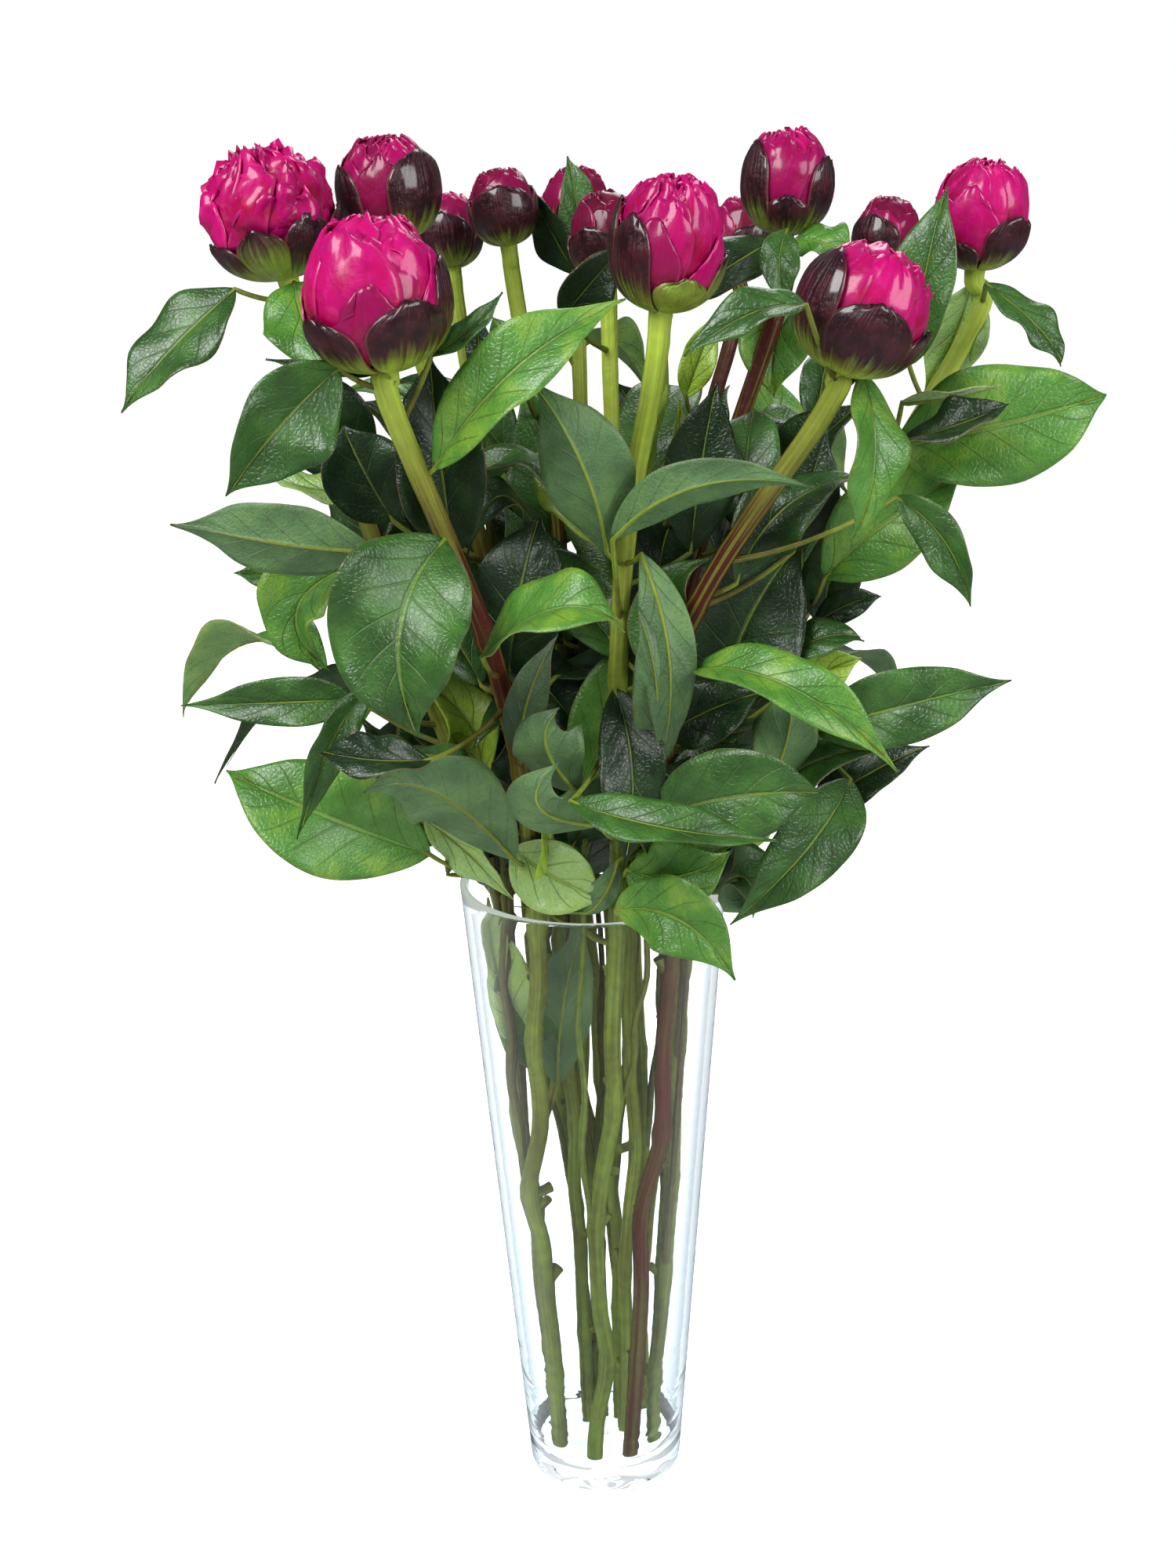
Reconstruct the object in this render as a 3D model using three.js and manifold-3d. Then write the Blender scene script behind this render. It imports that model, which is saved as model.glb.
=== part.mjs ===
// Thirteen cut peonies in bud, with their leafy stems, standing in a plain conical glass vase.
// Millimetres, +Z up. The origin is the middle of the vase's underside; the front is -Y.
import * as THREE from 'three';
import { mergeVertices } from 'three/addons/utils/BufferGeometryUtils.js';
import Module from 'manifold-3d';

const wasm = await Module();
wasm.setup();

// ---- Driving dimensions -------------------------------------------------------------------

const VASE_HEIGHT = 300;
const VASE_RIM_RADIUS = 59;
const VASE_BASE_RADIUS = 36.4;
const VASE_WALL = 3.3;
const VASE_FLOOR = 12;
const VASE_SEGMENTS = 32;

const FOOT_HEIGHT = VASE_FLOOR + 1.5;
const STEM_TWIST = 25;
const STEM_SIDES = 5;
const STEM_SPANS = 6;
const NECK_LENGTH = 34;
const MOUTH_HEIGHT = VASE_HEIGHT - 4;

const PIECE_GAP = 0.4;
const BLADE_THICKNESS = 0.8;
const BLADE_FOLD = 0.2;
const BLADE_BASE_SHARE = 0.45;
const PETIOLE_RADIUS = 1.4;
const LEAFLET_RADIUS = 0.8;
const PETIOLE_RISE = 0.12;
const LARGE_BLADE = 35;
const SMALL_BLADE = 20;
const LARGE_STATIONS = [0, 0.2, 0.45, 0.72, 1];
const MIDDLE_STATIONS = [0, 0.28, 0.66, 1];
const SMALL_STATIONS = [0, 0.42, 1];

const PETAL_THICKNESS = 0.9;
const LARGE_BUD = 32;
const OUTER_PETAL_COVER = 0.95;
const CROWN_PETAL_COVER = 0.86;
const FACET_SAG = 0.1;
const CROWN_RISE = 0.2;
const HEART_STEPS = 3;
const SEPAL_THICKNESS = 1.3;
const SEPAL_START = 170;
const WIDE_SEPAL = 30;
const LOW_SEPAL = 80;
const KNOB_RADIUS = 8;
const KNOB_LENGTH = 4;

// A bud's directions are counted from the front, in degrees.
const FRONT = -90;

// Which way the glossy upper side of a leaf looks.
const FACING = {
  front: [0, -1, 0.3],
  up: [0, -0.6, 0.8],
  under: [0, 1, 0.3],
  left: [-0.6, -0.8, 0.2],
  right: [0.6, -0.8, 0.2],
  lid: [0, 0.35, 1],
};

// ---- The thirteen peonies -----------------------------------------------------------------
// centre and size are the bud's; lean is the way it points; mouth is where its stem passes the
// vase's mouth (radius, degrees) and foot the radius of its cut end; bend holds points of the
// stem between mouth and neck. Each sepal has a direction from the front, half its spread and how
// near the bud's top it reaches, all in degrees.

const PEONIES = {
  front_left: {
    centre: [-73, -95, 557], width: 50, height: 53, lean: [-0.1, -0.12, 1], stem: 4.7,
    mouth: [43, 236], foot: 25, bend: [[-38, -56, 400]], petals: 7, turn: 200, flare: 0.03,
    sepals: [[-50, 32, 104], [20, 32, 98], [80, 22, 74], [150, 36, 96], [-128, 36, 100]],
  },
  front_right: {
    centre: [101, -90, 547], width: 46, height: 45, lean: [0.35, -0.12, 1], stem: 4.6,
    mouth: [43, 322], foot: 25, bend: [[50, -60, 445]], petals: 7, turn: 230, flare: 0.02,
    sepals: [[-66, 30, 52], [4, 36, 84], [74, 28, 96], [144, 34, 90], [-138, 34, 96]],
  },
  centre: {
    centre: [33, -60, 571], width: 40, height: 48, lean: [0.12, -0.05, 1], stem: 4.6,
    mouth: [43, 283], foot: 25, bend: [[14, -50, 440]], petals: 7, turn: 160, flare: 0.06,
    sepals: [[-92, 22, 66], [-44, 22, 78], [22, 34, 122], [92, 30, 100], [166, 36, 92]],
  },
  far_left: {
    centre: [-119, -20, 583], width: 49, height: 46, lean: [-0.2, -0.05, 1], stem: 4.2,
    mouth: [43, 193], foot: 25, bend: [[-77, -16, 420]], petals: 7, turn: 250, flare: 0.08,
    sepals: [[-62, 28, 112], [-8, 22, 100], [40, 22, 104], [96, 30, 98], [170, 36, 96]],
  },
  far_right: {
    centre: [161, 5, 578], width: 38, height: 42, lean: [0.05, -0.05, 1], stem: 4.1,
    mouth: [43, 0], foot: 25, bend: [[88, 0, 410]], petals: 6, turn: 320, flare: 0.05,
    sepals: [[34, 34, 92], [-48, 34, 128], [116, 36, 96], [-140, 40, 98]],
  },
  upper_right: {
    centre: [84, 10, 592], width: 34, height: 40, lean: [0.05, 0, 1], stem: 4.0,
    mouth: [19, 10], foot: 9.5, bend: [[44, 6, 430]], petals: 6, turn: 290, flare: 0,
    sepals: [[-62, 28, 58], [-4, 28, 112], [54, 26, 74], [150, 44, 86]],
  },
  left: {
    centre: [-76, 10, 593], width: 38, height: 40, lean: [-0.1, 0, 1], stem: 4.0,
    mouth: [19, 172], foot: 9.5, bend: [[-40, 6, 430]], petals: 6, turn: 180, flare: 0,
    sepals: [[-68, 34, 72], [54, 44, 60], [168, 44, 84]],
  },
  small: {
    centre: [-32, 50, 585], width: 26, height: 31, lean: [-0.12, 0, 1], stem: 3.7,
    mouth: [19, 118], foot: 9.5, bend: [[-12, 30, 440]], petals: 5, turn: 260, flare: 0,
    sepals: [[0, 56, 74], [118, 50, 80], [-118, 50, 80]],
  },
  behind_centre: {
    centre: [12, 30, 572], width: 30, height: 36, lean: [0, 0, 1], stem: 3.8,
    mouth: [19, 66], foot: 9.5, bend: [[12, 22, 440]], petals: 5, turn: 240, flare: 0,
    sepals: [[-30, 50, 88], [80, 50, 80], [-150, 50, 86]],
  },
  back: {
    centre: [-1, 95, 584], width: 28, height: 34, lean: [0, 0.15, 1], stem: 3.8,
    mouth: [43, 96], foot: 25, bend: [[-1, 62, 430]], petals: 5, turn: 30, flare: 0,
    sepals: [[20, 50, 84], [140, 50, 92], [-100, 50, 86]],
  },
  back_left: {
    centre: [-58, 90, 575], width: 27, height: 31, lean: [-0.1, 0.15, 1], stem: 3.7,
    mouth: [43, 130], foot: 25, bend: [[-40, 58, 430]], petals: 5, turn: 60, flare: 0,
    sepals: [[-10, 50, 80], [110, 50, 92], [-130, 50, 88]],
  },
  back_middle: {
    centre: [75, 110, 571], width: 27, height: 31, lean: [0.1, 0.2, 1], stem: 3.7,
    mouth: [43, 62], foot: 25, bend: [[40, 66, 430]], petals: 5, turn: 80, flare: 0,
    sepals: [[30, 50, 92], [150, 50, 84], [-90, 50, 86]],
  },
  back_right: {
    centre: [141, 110, 569], width: 28, height: 32, lean: [0.25, 0.15, 1], stem: 3.7,
    mouth: [43, 32], foot: 25, bend: [[74, 50, 420]], petals: 5, turn: 100, flare: 0,
    sepals: [[-40, 50, 84], [80, 50, 90], [-160, 50, 92]],
  },
};

// ---- Leaves -------------------------------------------------------------------------------
// Each row: the stem that carries it, foot of the blade, its middle, its tip, its width, the way
// its upper side faces, and how far below the blade its stalk leaves the stem (share of reach).

const LEAVES = [
  ['far_left', [-134, -25, 555], [-157, -35, 535], [-180, -40, 511], 33, 'left', 0.25],
  ['front_left', [-86, -100, 530], [-107, -110, 511], [-127, -112, 487], 33, 'right', 0.5],
  ['far_left', [-110, -30, 557], [-104, -50, 543], [-93, -64, 525], 31, 'front', 1.4],
  ['front_left', [-75, -84, 527], [-93, -92, 529], [-112, -96, 534], 9, 'up', 0.9],
  ['far_left', [-87, -25, 478], [-104, -35, 506], [-122, -25, 522], 36, 'front', 0.5],
  ['left', [-76, -40, 466], [-86, -50, 489], [-92, -50, 505], 34, 'front', 0.5],
  ['far_left', [-82, -40, 477], [-106, -45, 480], [-124, -40, 486], 17, 'up', 0.5],
  ['front_left', [-82, -62, 458], [-120, -70, 464], [-157, -60, 471], 30, 'under', 0.5],
  ['far_left', [-93, -30, 447], [-117, -36, 430], [-107, -36, 403], 30, 'left', -0.5],
  ['left', [-116, 10, 432], [-135, 12, 435], [-150, 10, 437], 13, 'front', 0.5],
  ['front_left', [-52, -92, 467], [-68, -118, 438], [-62, -116, 395], 51, 'front', 0.5],
  ['far_left', [-96, -45, 395], [-123, -52, 396], [-165, -45, 394], 20, 'front', 0.5],
  ['far_left', [-86, -72, 405], [-100, -84, 387], [-115, -84, 348], 16, 'right', 0.25],
  ['far_left', [-67, -52, 330], [-109, -72, 356], [-148, -62, 372], 44, 'front', 0.5],
  ['front_left', [-61, -96, 384], [-83, -107, 388], [-103, -99, 390], 19, 'up', -0.2],
  ['front_left', [-32, -58, 329], [-59, -84, 366], [-87, -90, 372], 36, 'under', 0.5],
  ['left', [-51, -58, 456], [-54, -72, 497], [-57, -60, 533], 34, 'front', 0.5],
  ['front_left', [-54, -87, 533], [-40, -88, 542], [-28, -82, 554], 11, 'up', 1.4],
  ['left', [-40, -22, 518], [-40, -27, 532], [-41, -22, 545], 10, 'front', 0.5],
  ['small', [-24, 0, 515], [-30, -4, 530], [-36, 0, 542], 15, 'front', 0.5],
  ['front_left', [-55, -84, 492], [-23, -98, 529], [16, -82, 550], 30, 'left', 0.5],
  ['back', [4, 72, 556], [0, 66, 581], [-3, 70, 604], 20, 'right', 0.5],
  ['back', [-2, 62, 555], [-12, 58, 573], [-21, 62, 592], 18, 'left', 0.5],
  ['behind_centre', [-6, 0, 541], [4, -8, 553], [20, -2, 569], 23, 'right', 0.5],
  ['centre', [8, -66, 456], [-1, -92, 494], [-19, -88, 524], 34, 'under', 0.5],
  ['centre', [10, -77, 463], [40, -95, 485], [83, -91, 484], 20, 'under', 1.4],
  ['centre', [41, -52, 453], [45, -58, 489], [51, -58, 519], 28, 'front', 0.5],
  ['behind_centre', [33, -30, 462], [36, -36, 486], [39, -36, 511], 21, 'right', 0.5],
  ['centre', [21, -46, 472], [27, -46, 508], [35, -40, 542], 11, 'right', 0.9],
  ['front_right', [77, -116, 549], [57, -122, 547], [35, -120, 533], 15, 'up', 1.4],
  ['upper_right', [77, -4, 568], [57, -16, 558], [37, -20, 544], 27, 'up', 0.5],
  ['upper_right', [81, -16, 572], [77, -28, 559], [80, -30, 544], 15, 'front', 1.4],
  ['upper_right', [86, 0, 568], [97, -8, 567], [108, -14, 560], 22, 'up', 1.4],
  ['upper_right', [88, 18, 540], [79, 10, 525], [80, 8, 505], 29, 'front', -0.5],
  ['back_middle', [45, 48, 503], [51, 44, 520], [58, 46, 539], 15, 'front', 0.5],
  ['far_right', [130, -18, 520], [133, -30, 555], [141, -24, 588], 27, 'left', 0.5],
  ['far_right', [161, -10, 550], [180, -20, 534], [190, -25, 519], 18, 'right', 0.5],
  ['far_right', [159, 8, 549], [153, 10, 527], [141, 10, 504], 25, 'front', -0.2],
  ['far_right', [118, -56, 492], [159, -74, 503], [199, -68, 513], 45, 'front', 0.5],
  ['far_right', [118, -74, 511], [135, -82, 514], [153, -80, 517], 10, 'lid', 0.5],
  ['far_right', [118, -78, 498], [137, -90, 505], [155, -86, 512], 17, 'up', 0.5],
  ['front_right', [102, -78, 523], [105, -96, 494], [98, -94, 462], 26, 'right', 0.5],
  ['far_right', [94, -48, 441], [119, -60, 467], [148, -54, 482], 36, 'front', 0.5],
  ['front_right', [116, -80, 477], [133, -90, 461], [143, -88, 436], 17, 'left', 0.5],
  ['back_right', [93, -28, 418], [106, -34, 427], [119, -34, 430], 13, 'front', 0.25],
  ['far_right', [80, -40, 406], [94, -48, 417], [112, -46, 416], 18, 'up', 0.25],
  ['front_right', [79, -40, 392], [94, -46, 402], [110, -44, 407], 19, 'front', 0.5],
  ['far_right', [90, -58, 381], [124, -76, 396], [164, -70, 403], 30, 'front', 0.5],
  ['front_right', [39, -72, 411], [74, -106, 412], [116, -108, 379], 24, 'up', 0.5],
  ['far_right', [92, -39, 341], [113, -45, 358], [140, -39, 369], 23, 'up', 0.5],
  ['front_right', [24, -82, 354], [56, -106, 370], [91, -100, 368], 36, 'front', 0.5],
  ['far_right', [106, -48, 357], [85, -76, 337], [54, -80, 307], 30, 'front', -0.5],
  ['back_right', [77, -22, 304], [90, -28, 313], [101, -28, 324], 15, 'front', -0.2],
  ['centre', [9, -60, 307], [35, -82, 310], [56, -84, 285], 31, 'front', 0.5],
  ['centre', [-8, -108, 370], [28, -130, 366], [69, -122, 358], 22, 'up', -0.2],
  ['centre', [14, -54, 322], [35, -70, 325], [56, -72, 336], 29, 'front', 0.5],
  ['front_left', [-40, -90, 422], [-11, -118, 446], [16, -118, 438], 34, 'up', 0.5],
  ['centre', [-15, -24, 448], [-32, -46, 476], [-47, -46, 452], 19, 'up', 0.9],
  ['small', [-32, -46, 404], [-26, -58, 441], [-17, -46, 470], 38, 'front', 0.5],
  ['centre', [22, -72, 368], [26, -84, 403], [19, -76, 437], 19, 'under', 0.5],
  ['front_left', [-28, -62, 373], [-24, -70, 400], [-12, -64, 424], 16, 'under', 0.5],
  ['centre', [-5, -76, 363], [-17, -94, 388], [-11, -92, 402], 27, 'under', 0.5],
  ['centre', [3, -80, 351], [-20, -104, 367], [-13, -102, 384], 25, 'under', 0.5],
  ['front_right', [31, -60, 340], [19, -76, 363], [11, -80, 379], 27, 'front', 0.5],
  ['back_right', [56, -32, 384], [64, -46, 424], [89, -38, 457], 50, 'front', 0.5],
  ['front_right', [31, -56, 380], [47, -64, 392], [70, -62, 399], 26, 'front', 0.5],
  ['back_right', [70, -56, 357], [78, -66, 381], [79, -64, 407], 25, 'under', -0.2],
  ['front_left', [-22, -38, 298], [-18, -50, 323], [-21, -50, 349], 15, 'right', 0.5],
  ['front_right', [10, -52, 325], [-6, -52, 301], [-34, -44, 302], 17, 'under', -0.5],
  ['front_left', [-20, -12, 208], [-32, -20, 245], [-39, -20, 278], 26, 'front', 0.9],
  ['front_right', [82, -44, 451], [87, -50, 476], [94, -48, 500], 24, 'front', 0.5],
];

// Compound leaves of the back and the sides, three leaflets each.
// Each row: stem, height of the blades' foot, direction (degrees), stalk, leaflet length, width.
const SPRAYS = [
  ['back_right', 372, 28, 30, 84, 36],
  ['back_middle', 380, 68, 38, 80, 36],
  ['back', 366, 100, 40, 84, 38],
  ['back_left', 378, 140, 28, 82, 36],
  ['far_left', 392, 152, 52, 84, 36],
  ['back_middle', 470, 48, 48, 78, 34],
  ['back', 462, 84, 26, 78, 34],
  ['back', 520, 108, 18, 66, 28],
];
const SPRAY_SPREAD = 62;
const SPRAY_DROP = 0.5;
const SPRAY_FORK = 0.72;
const SPRAY_TILT = 2.2;
const SPRAY_SIDE_SHARE = 0.82;
const SPRAY_RISE = 0.25;
const SPRAY_DROOP = 0.35;

// ---- Materials ----------------------------------------------------------------------------

const GLASS = new THREE.MeshStandardMaterial({
  color: 0xdfeef2, roughness: 0.05, metalness: 0, transparent: true, opacity: 0.35,
});
const LEAF_GREEN = new THREE.MeshStandardMaterial({ color: 0x4f7a3a, roughness: 0.45, metalness: 0 });
const PETAL_MAGENTA = new THREE.MeshStandardMaterial({ color: 0xb81f5c, roughness: 0.5, metalness: 0 });
const SEPAL_MAROON = new THREE.MeshStandardMaterial({ color: 0x4a2a2c, roughness: 0.35, metalness: 0 });

// ---- Vectors and solids -------------------------------------------------------------------

function vector([x, y, z]) {
  return new THREE.Vector3(x, y, z);
}

function radians(degrees) {
  return THREE.MathUtils.degToRad(degrees);
}

function squareTo(direction, tangent) {
  return direction.clone().addScaledVector(tangent, -direction.dot(tangent)).normalize();
}

// A closed skin over rings that all have the same even number of points, in the same order.
// The two halves of a ring are split by mirrored diagonals, so both faces of a blade match.
function skin(rings) {
  const count = rings[0].length;
  const positions = rings.flat().flatMap((point) => [point.x, point.y, point.z]);
  const triangles = [];
  for (let ring = 0; ring + 1 < rings.length; ring += 1) {
    for (let side = 0; side < count; side += 1) {
      const next = (side + 1) % count;
      const a = ring * count + side;
      const b = ring * count + next;
      const c = a + count;
      const d = b + count;
      triangles.push(...(side < count / 2 ? [a, b, d, a, d, c] : [a, b, c, b, d, c]));
    }
  }
  const last = (rings.length - 1) * count;
  for (let side = 1; side < count / 2; side += 1) {
    const pair = [side - 1, side, count - 1 - side, count - side];
    triangles.push(pair[0], pair[2], pair[1], pair[0], pair[3], pair[2]);
    triangles.push(last + pair[0], last + pair[1], last + pair[2]);
    triangles.push(last + pair[0], last + pair[2], last + pair[3]);
  }
  const geometry = new THREE.BufferGeometry();
  geometry.setAttribute('position', new THREE.Float32BufferAttribute(positions, 3));
  geometry.setIndex(triangles);
  return geometry;
}

function solid(geometry) {
  const bare = geometry.clone();
  bare.deleteAttribute('normal');
  bare.deleteAttribute('uv');
  const merged = mergeVertices(bare, 1e-4);
  const index = merged.getIndex().array;
  const kept = [];
  for (let corner = 0; corner < index.length; corner += 3) {
    const [a, b, c] = [index[corner], index[corner + 1], index[corner + 2]];
    if (a !== b && b !== c && c !== a) {
      kept.push(a, b, c);
    }
  }
  return new wasm.Manifold(new wasm.Mesh({
    numProp: 3,
    vertProperties: new Float32Array(merged.getAttribute('position').array),
    triVerts: new Uint32Array(kept),
  }));
}

function fuse(solids) {
  return solids.reduce((whole, piece) => whole.add(piece));
}

function meshOf(name, whole, material) {
  const { numProp, vertProperties, triVerts } = whole.getMesh();
  const geometry = new THREE.BufferGeometry();
  const positions = [];
  for (let start = 0; start < vertProperties.length; start += numProp) {
    positions.push(...vertProperties.subarray(start, start + 3));
  }
  geometry.setAttribute('position', new THREE.Float32BufferAttribute(positions, 3));
  geometry.setIndex(Array.from(triVerts));
  geometry.computeVertexNormals();
  const mesh = new THREE.Mesh(geometry, material);
  mesh.name = name;
  return mesh;
}

// ---- Vase ---------------------------------------------------------------------------------

function vaseSolid() {
  const foot = 1.5;
  const corner = VASE_BASE_RADIUS - 2 * VASE_WALL;
  const profile = [
    [0, 0],
    [VASE_BASE_RADIUS - foot, 0],
    [VASE_BASE_RADIUS, foot],
    [VASE_RIM_RADIUS, VASE_HEIGHT],
    [VASE_RIM_RADIUS - VASE_WALL, VASE_HEIGHT],
    [VASE_BASE_RADIUS - VASE_WALL, VASE_FLOOR + VASE_WALL],
    [corner, VASE_FLOOR],
    [0, VASE_FLOOR],
  ].map(([radius, height]) => new THREE.Vector2(radius, height));
  const geometry = new THREE.LatheGeometry(profile, VASE_SEGMENTS);
  geometry.rotateX(Math.PI / 2);
  return solid(geometry);
}

// ---- Stems --------------------------------------------------------------------------------

function axisOf(peony) {
  return vector(peony.lean).normalize();
}

// Where the stem ends, under the bud's knob.
function neckOf(peony) {
  const below = peony.height / 2 + 1 + KNOB_LENGTH + PIECE_GAP;
  return vector(peony.centre).addScaledVector(axisOf(peony), -below);
}

function insideVase(peony, share, height) {
  const radius = THREE.MathUtils.lerp(peony.foot, peony.mouth[0], share);
  const angle = radians(peony.mouth[1] - STEM_TWIST * (1 - share));
  return new THREE.Vector3(radius * Math.cos(angle), radius * Math.sin(angle), height);
}

function stemCurve(peony) {
  const neck = neckOf(peony);
  return new THREE.CatmullRomCurve3([
    insideVase(peony, 0, FOOT_HEIGHT),
    insideVase(peony, 0.5, (FOOT_HEIGHT + MOUTH_HEIGHT) / 2),
    insideVase(peony, 1, MOUTH_HEIGHT),
    ...peony.bend.map(vector),
    neck.clone().addScaledVector(axisOf(peony), -NECK_LENGTH),
    neck,
  ], false, 'catmullrom', 0.5);
}

function stemSolid(peony) {
  const curve = stemCurve(peony);
  const rings = [];
  for (let span = 0; span <= STEM_SPANS; span += 1) {
    const at = span / STEM_SPANS;
    const centre = curve.getPoint(at);
    const tangent = curve.getTangent(at);
    const across = squareTo(new THREE.Vector3(1, 0, 0), tangent);
    const along = tangent.clone().cross(across);
    const ring = [];
    for (let side = 0; side < STEM_SIDES; side += 1) {
      const angle = (2 * Math.PI * side) / STEM_SIDES;
      ring.push(centre.clone()
        .addScaledVector(across, peony.stem * Math.cos(angle))
        .addScaledVector(along, peony.stem * Math.sin(angle)));
    }
    rings.push(ring);
  }
  return solid(skin(rings));
}

// ---- Leaves -------------------------------------------------------------------------------

// Six points across a blade or stalk: left edge, midrib and right edge, on top and below.
function bladeRing(centre, normal, side, half, thickness, fold) {
  const lift = half * fold + thickness / 2;
  const point = (across, up) => centre.clone()
    .addScaledVector(side, across)
    .addScaledVector(normal, up);
  return [
    point(-half, lift),
    point(0, thickness / 2),
    point(half, lift),
    point(half, lift - thickness),
    point(0, -thickness / 2),
    point(-half, lift - thickness),
  ];
}

// A leaf's outline: the half-width's share of its greatest value along the blade.
function outline(at) {
  const widest = BLADE_BASE_SHARE;
  return (at / widest) ** 0.9 * ((1 - at) / (1 - widest)) ** 1.1;
}

function stationsFor(width) {
  if (width >= LARGE_BLADE) {
    return LARGE_STATIONS;
  }
  return width >= SMALL_BLADE ? MIDDLE_STATIONS : SMALL_STATIONS;
}

function spineOf(foot, middle, tip) {
  const handle = middle.clone().multiplyScalar(2).addScaledVector(foot, -0.5).addScaledVector(tip, -0.5);
  return new THREE.QuadraticBezierCurve3(foot, handle, tip);
}

// A round ring of a stalk, square to its direction, with the midrib's side towards normal.
function stalkRing(centre, direction, facing, radius) {
  const normal = squareTo(facing, direction);
  const side = direction.clone().cross(normal);
  return bladeRing(centre, normal, side, radius, 2 * radius, 0);
}

// The rings of a blade, from its foot to its tip. The first is mitred to the arriving stalk.
function bladeRings(spine, width, facing, arriving, footRadius) {
  return stationsFor(width).map((at) => {
    const tangent = spine.getTangent(at);
    const normal = squareTo(facing, tangent);
    if (at === 0) {
      const mitre = tangent.clone().add(arriving).normalize();
      return stalkRing(spine.getPoint(0), mitre, normal, footRadius);
    }
    const side = tangent.clone().cross(normal);
    const half = (width / 2) * outline(at);
    return bladeRing(spine.getPoint(at), normal, side, half, BLADE_THICKNESS, BLADE_FOLD);
  });
}

// The point of a stem's centre line that is nearest to a height.
function stemPointAt(curve, height) {
  const steps = 120;
  let best = curve.getPoint(0);
  for (let step = 1; step <= steps; step += 1) {
    const point = curve.getPoint(step / steps);
    if (Math.abs(point.z - height) < Math.abs(best.z - height)) {
      best = point;
    }
  }
  return best;
}

// A leaf stalk's centre line, from inside the stem to the foot of the blade.
function stalkPath(curve, foot, drop) {
  const level = stemPointAt(curve, foot.z);
  const reach = Math.hypot(foot.x - level.x, foot.y - level.y);
  const root = stemPointAt(curve, foot.z - drop * reach);
  const lift = PETIOLE_RISE * root.distanceTo(foot);
  const crook = root.clone().lerp(foot, 0.5).add(new THREE.Vector3(0, 0, -lift));
  return new THREE.QuadraticBezierCurve3(root, crook, foot);
}

// A blade with its stalk, as one closed skin.
function stalkedBlade(stalk, spine, width, facing) {
  const arriving = stalk.getTangent(1);
  const mitre = spine.getTangent(0).add(arriving).normalize();
  const footNormal = squareTo(facing, mitre);
  return solid(skin([
    stalkRing(stalk.getPoint(0), stalk.getTangent(0), footNormal, PETIOLE_RADIUS),
    ...bladeRings(spine, width, facing, arriving, PETIOLE_RADIUS),
  ]));
}

function leafSolid(curve, [, foot, middle, tip, width, facing, drop]) {
  const spine = spineOf(vector(foot), vector(middle), vector(tip));
  return stalkedBlade(stalkPath(curve, vector(foot), drop), spine, width, vector(FACING[facing]));
}

// Three leaflets that arch out from one stalk, the middle one from its end.
function spraySolids(curve, [, height, heading, reach, length, width]) {
  const level = stemPointAt(curve, height);
  const way = (degrees, rise) => new THREE.Vector3(
    Math.cos(radians(degrees)),
    Math.sin(radians(degrees)),
    rise,
  );
  const end = new THREE.Vector3(level.x, level.y, height).addScaledVector(way(heading, 0), reach);
  const stalk = stalkPath(curve, end, SPRAY_DROP);
  const facing = way(heading, SPRAY_TILT);
  return [0, -SPRAY_SPREAD, SPRAY_SPREAD].map((turn) => {
    const size = turn === 0 ? 1 : SPRAY_SIDE_SHARE;
    const foot = turn === 0 ? end : stalk.getPoint(SPRAY_FORK);
    const middle = foot.clone().addScaledVector(way(heading + turn, SPRAY_RISE), (size * length) / 2);
    const tip = foot.clone().addScaledVector(way(heading + turn, -SPRAY_DROOP), size * length);
    const spine = spineOf(foot, middle, tip);
    if (turn === 0) {
      return stalkedBlade(stalk, spine, width, facing);
    }
    return solid(skin(bladeRings(spine, size * width, facing, spine.getTangent(0), LEAFLET_RADIUS)));
  });
}

// ---- Buds ---------------------------------------------------------------------------------

// Turns a point of the bud's own frame, where it stands upright at the origin, to its place.
function placedBud(peony, point) {
  const turn = new THREE.Quaternion().setFromUnitVectors(new THREE.Vector3(0, 0, 1), axisOf(peony));
  return point.applyQuaternion(turn).add(vector(peony.centre));
}

function placeBud(peony, geometry) {
  const turn = new THREE.Quaternion().setFromUnitVectors(new THREE.Vector3(0, 0, 1), axisOf(peony));
  geometry.applyQuaternion(turn);
  geometry.translate(...peony.centre);
  return geometry;
}

// A thick curved blade on the bud's egg: from and to are angles from its top, spread is half the
// angle that it takes in round the axis, and level is its distance out as a share of the egg's,
// which it reaches from sunk at its root and passes by lift at its tip.
function scale(peony, { azimuth, spread, from, to, level, sunk, lift, thickness, columns, rows }) {
  const half = [peony.width / 2, peony.height / 2];
  const surface = (across, along, inset) => {
    const polar = radians(from + (to - from) * along);
    const round = Math.sqrt(Math.max(0, 1 - Math.max(0, (along - 0.55) / 0.5) ** 2));
    const turn = radians(azimuth + across * spread * round);
    const share = THREE.MathUtils.lerp(sunk, level, Math.min(1, along / 0.3)) + lift * along ** 3;
    return placedBud(peony, new THREE.Vector3(
      (share * half[0] - inset) * Math.sin(polar) * Math.cos(turn),
      (share * half[0] - inset) * Math.sin(polar) * Math.sin(turn),
      (share * half[1] - inset) * Math.cos(polar),
    ));
  };
  const rings = [];
  for (let row = 0; row <= rows; row += 1) {
    const outer = [];
    const inner = [];
    for (let column = 0; column <= columns; column += 1) {
      const across = (2 * column) / columns - 1;
      outer.push(surface(across, row / rows, 0));
      inner.unshift(surface(across, row / rows, thickness));
    }
    rings.push([...outer, ...inner]);
  }
  return solid(skin(rings));
}

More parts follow.
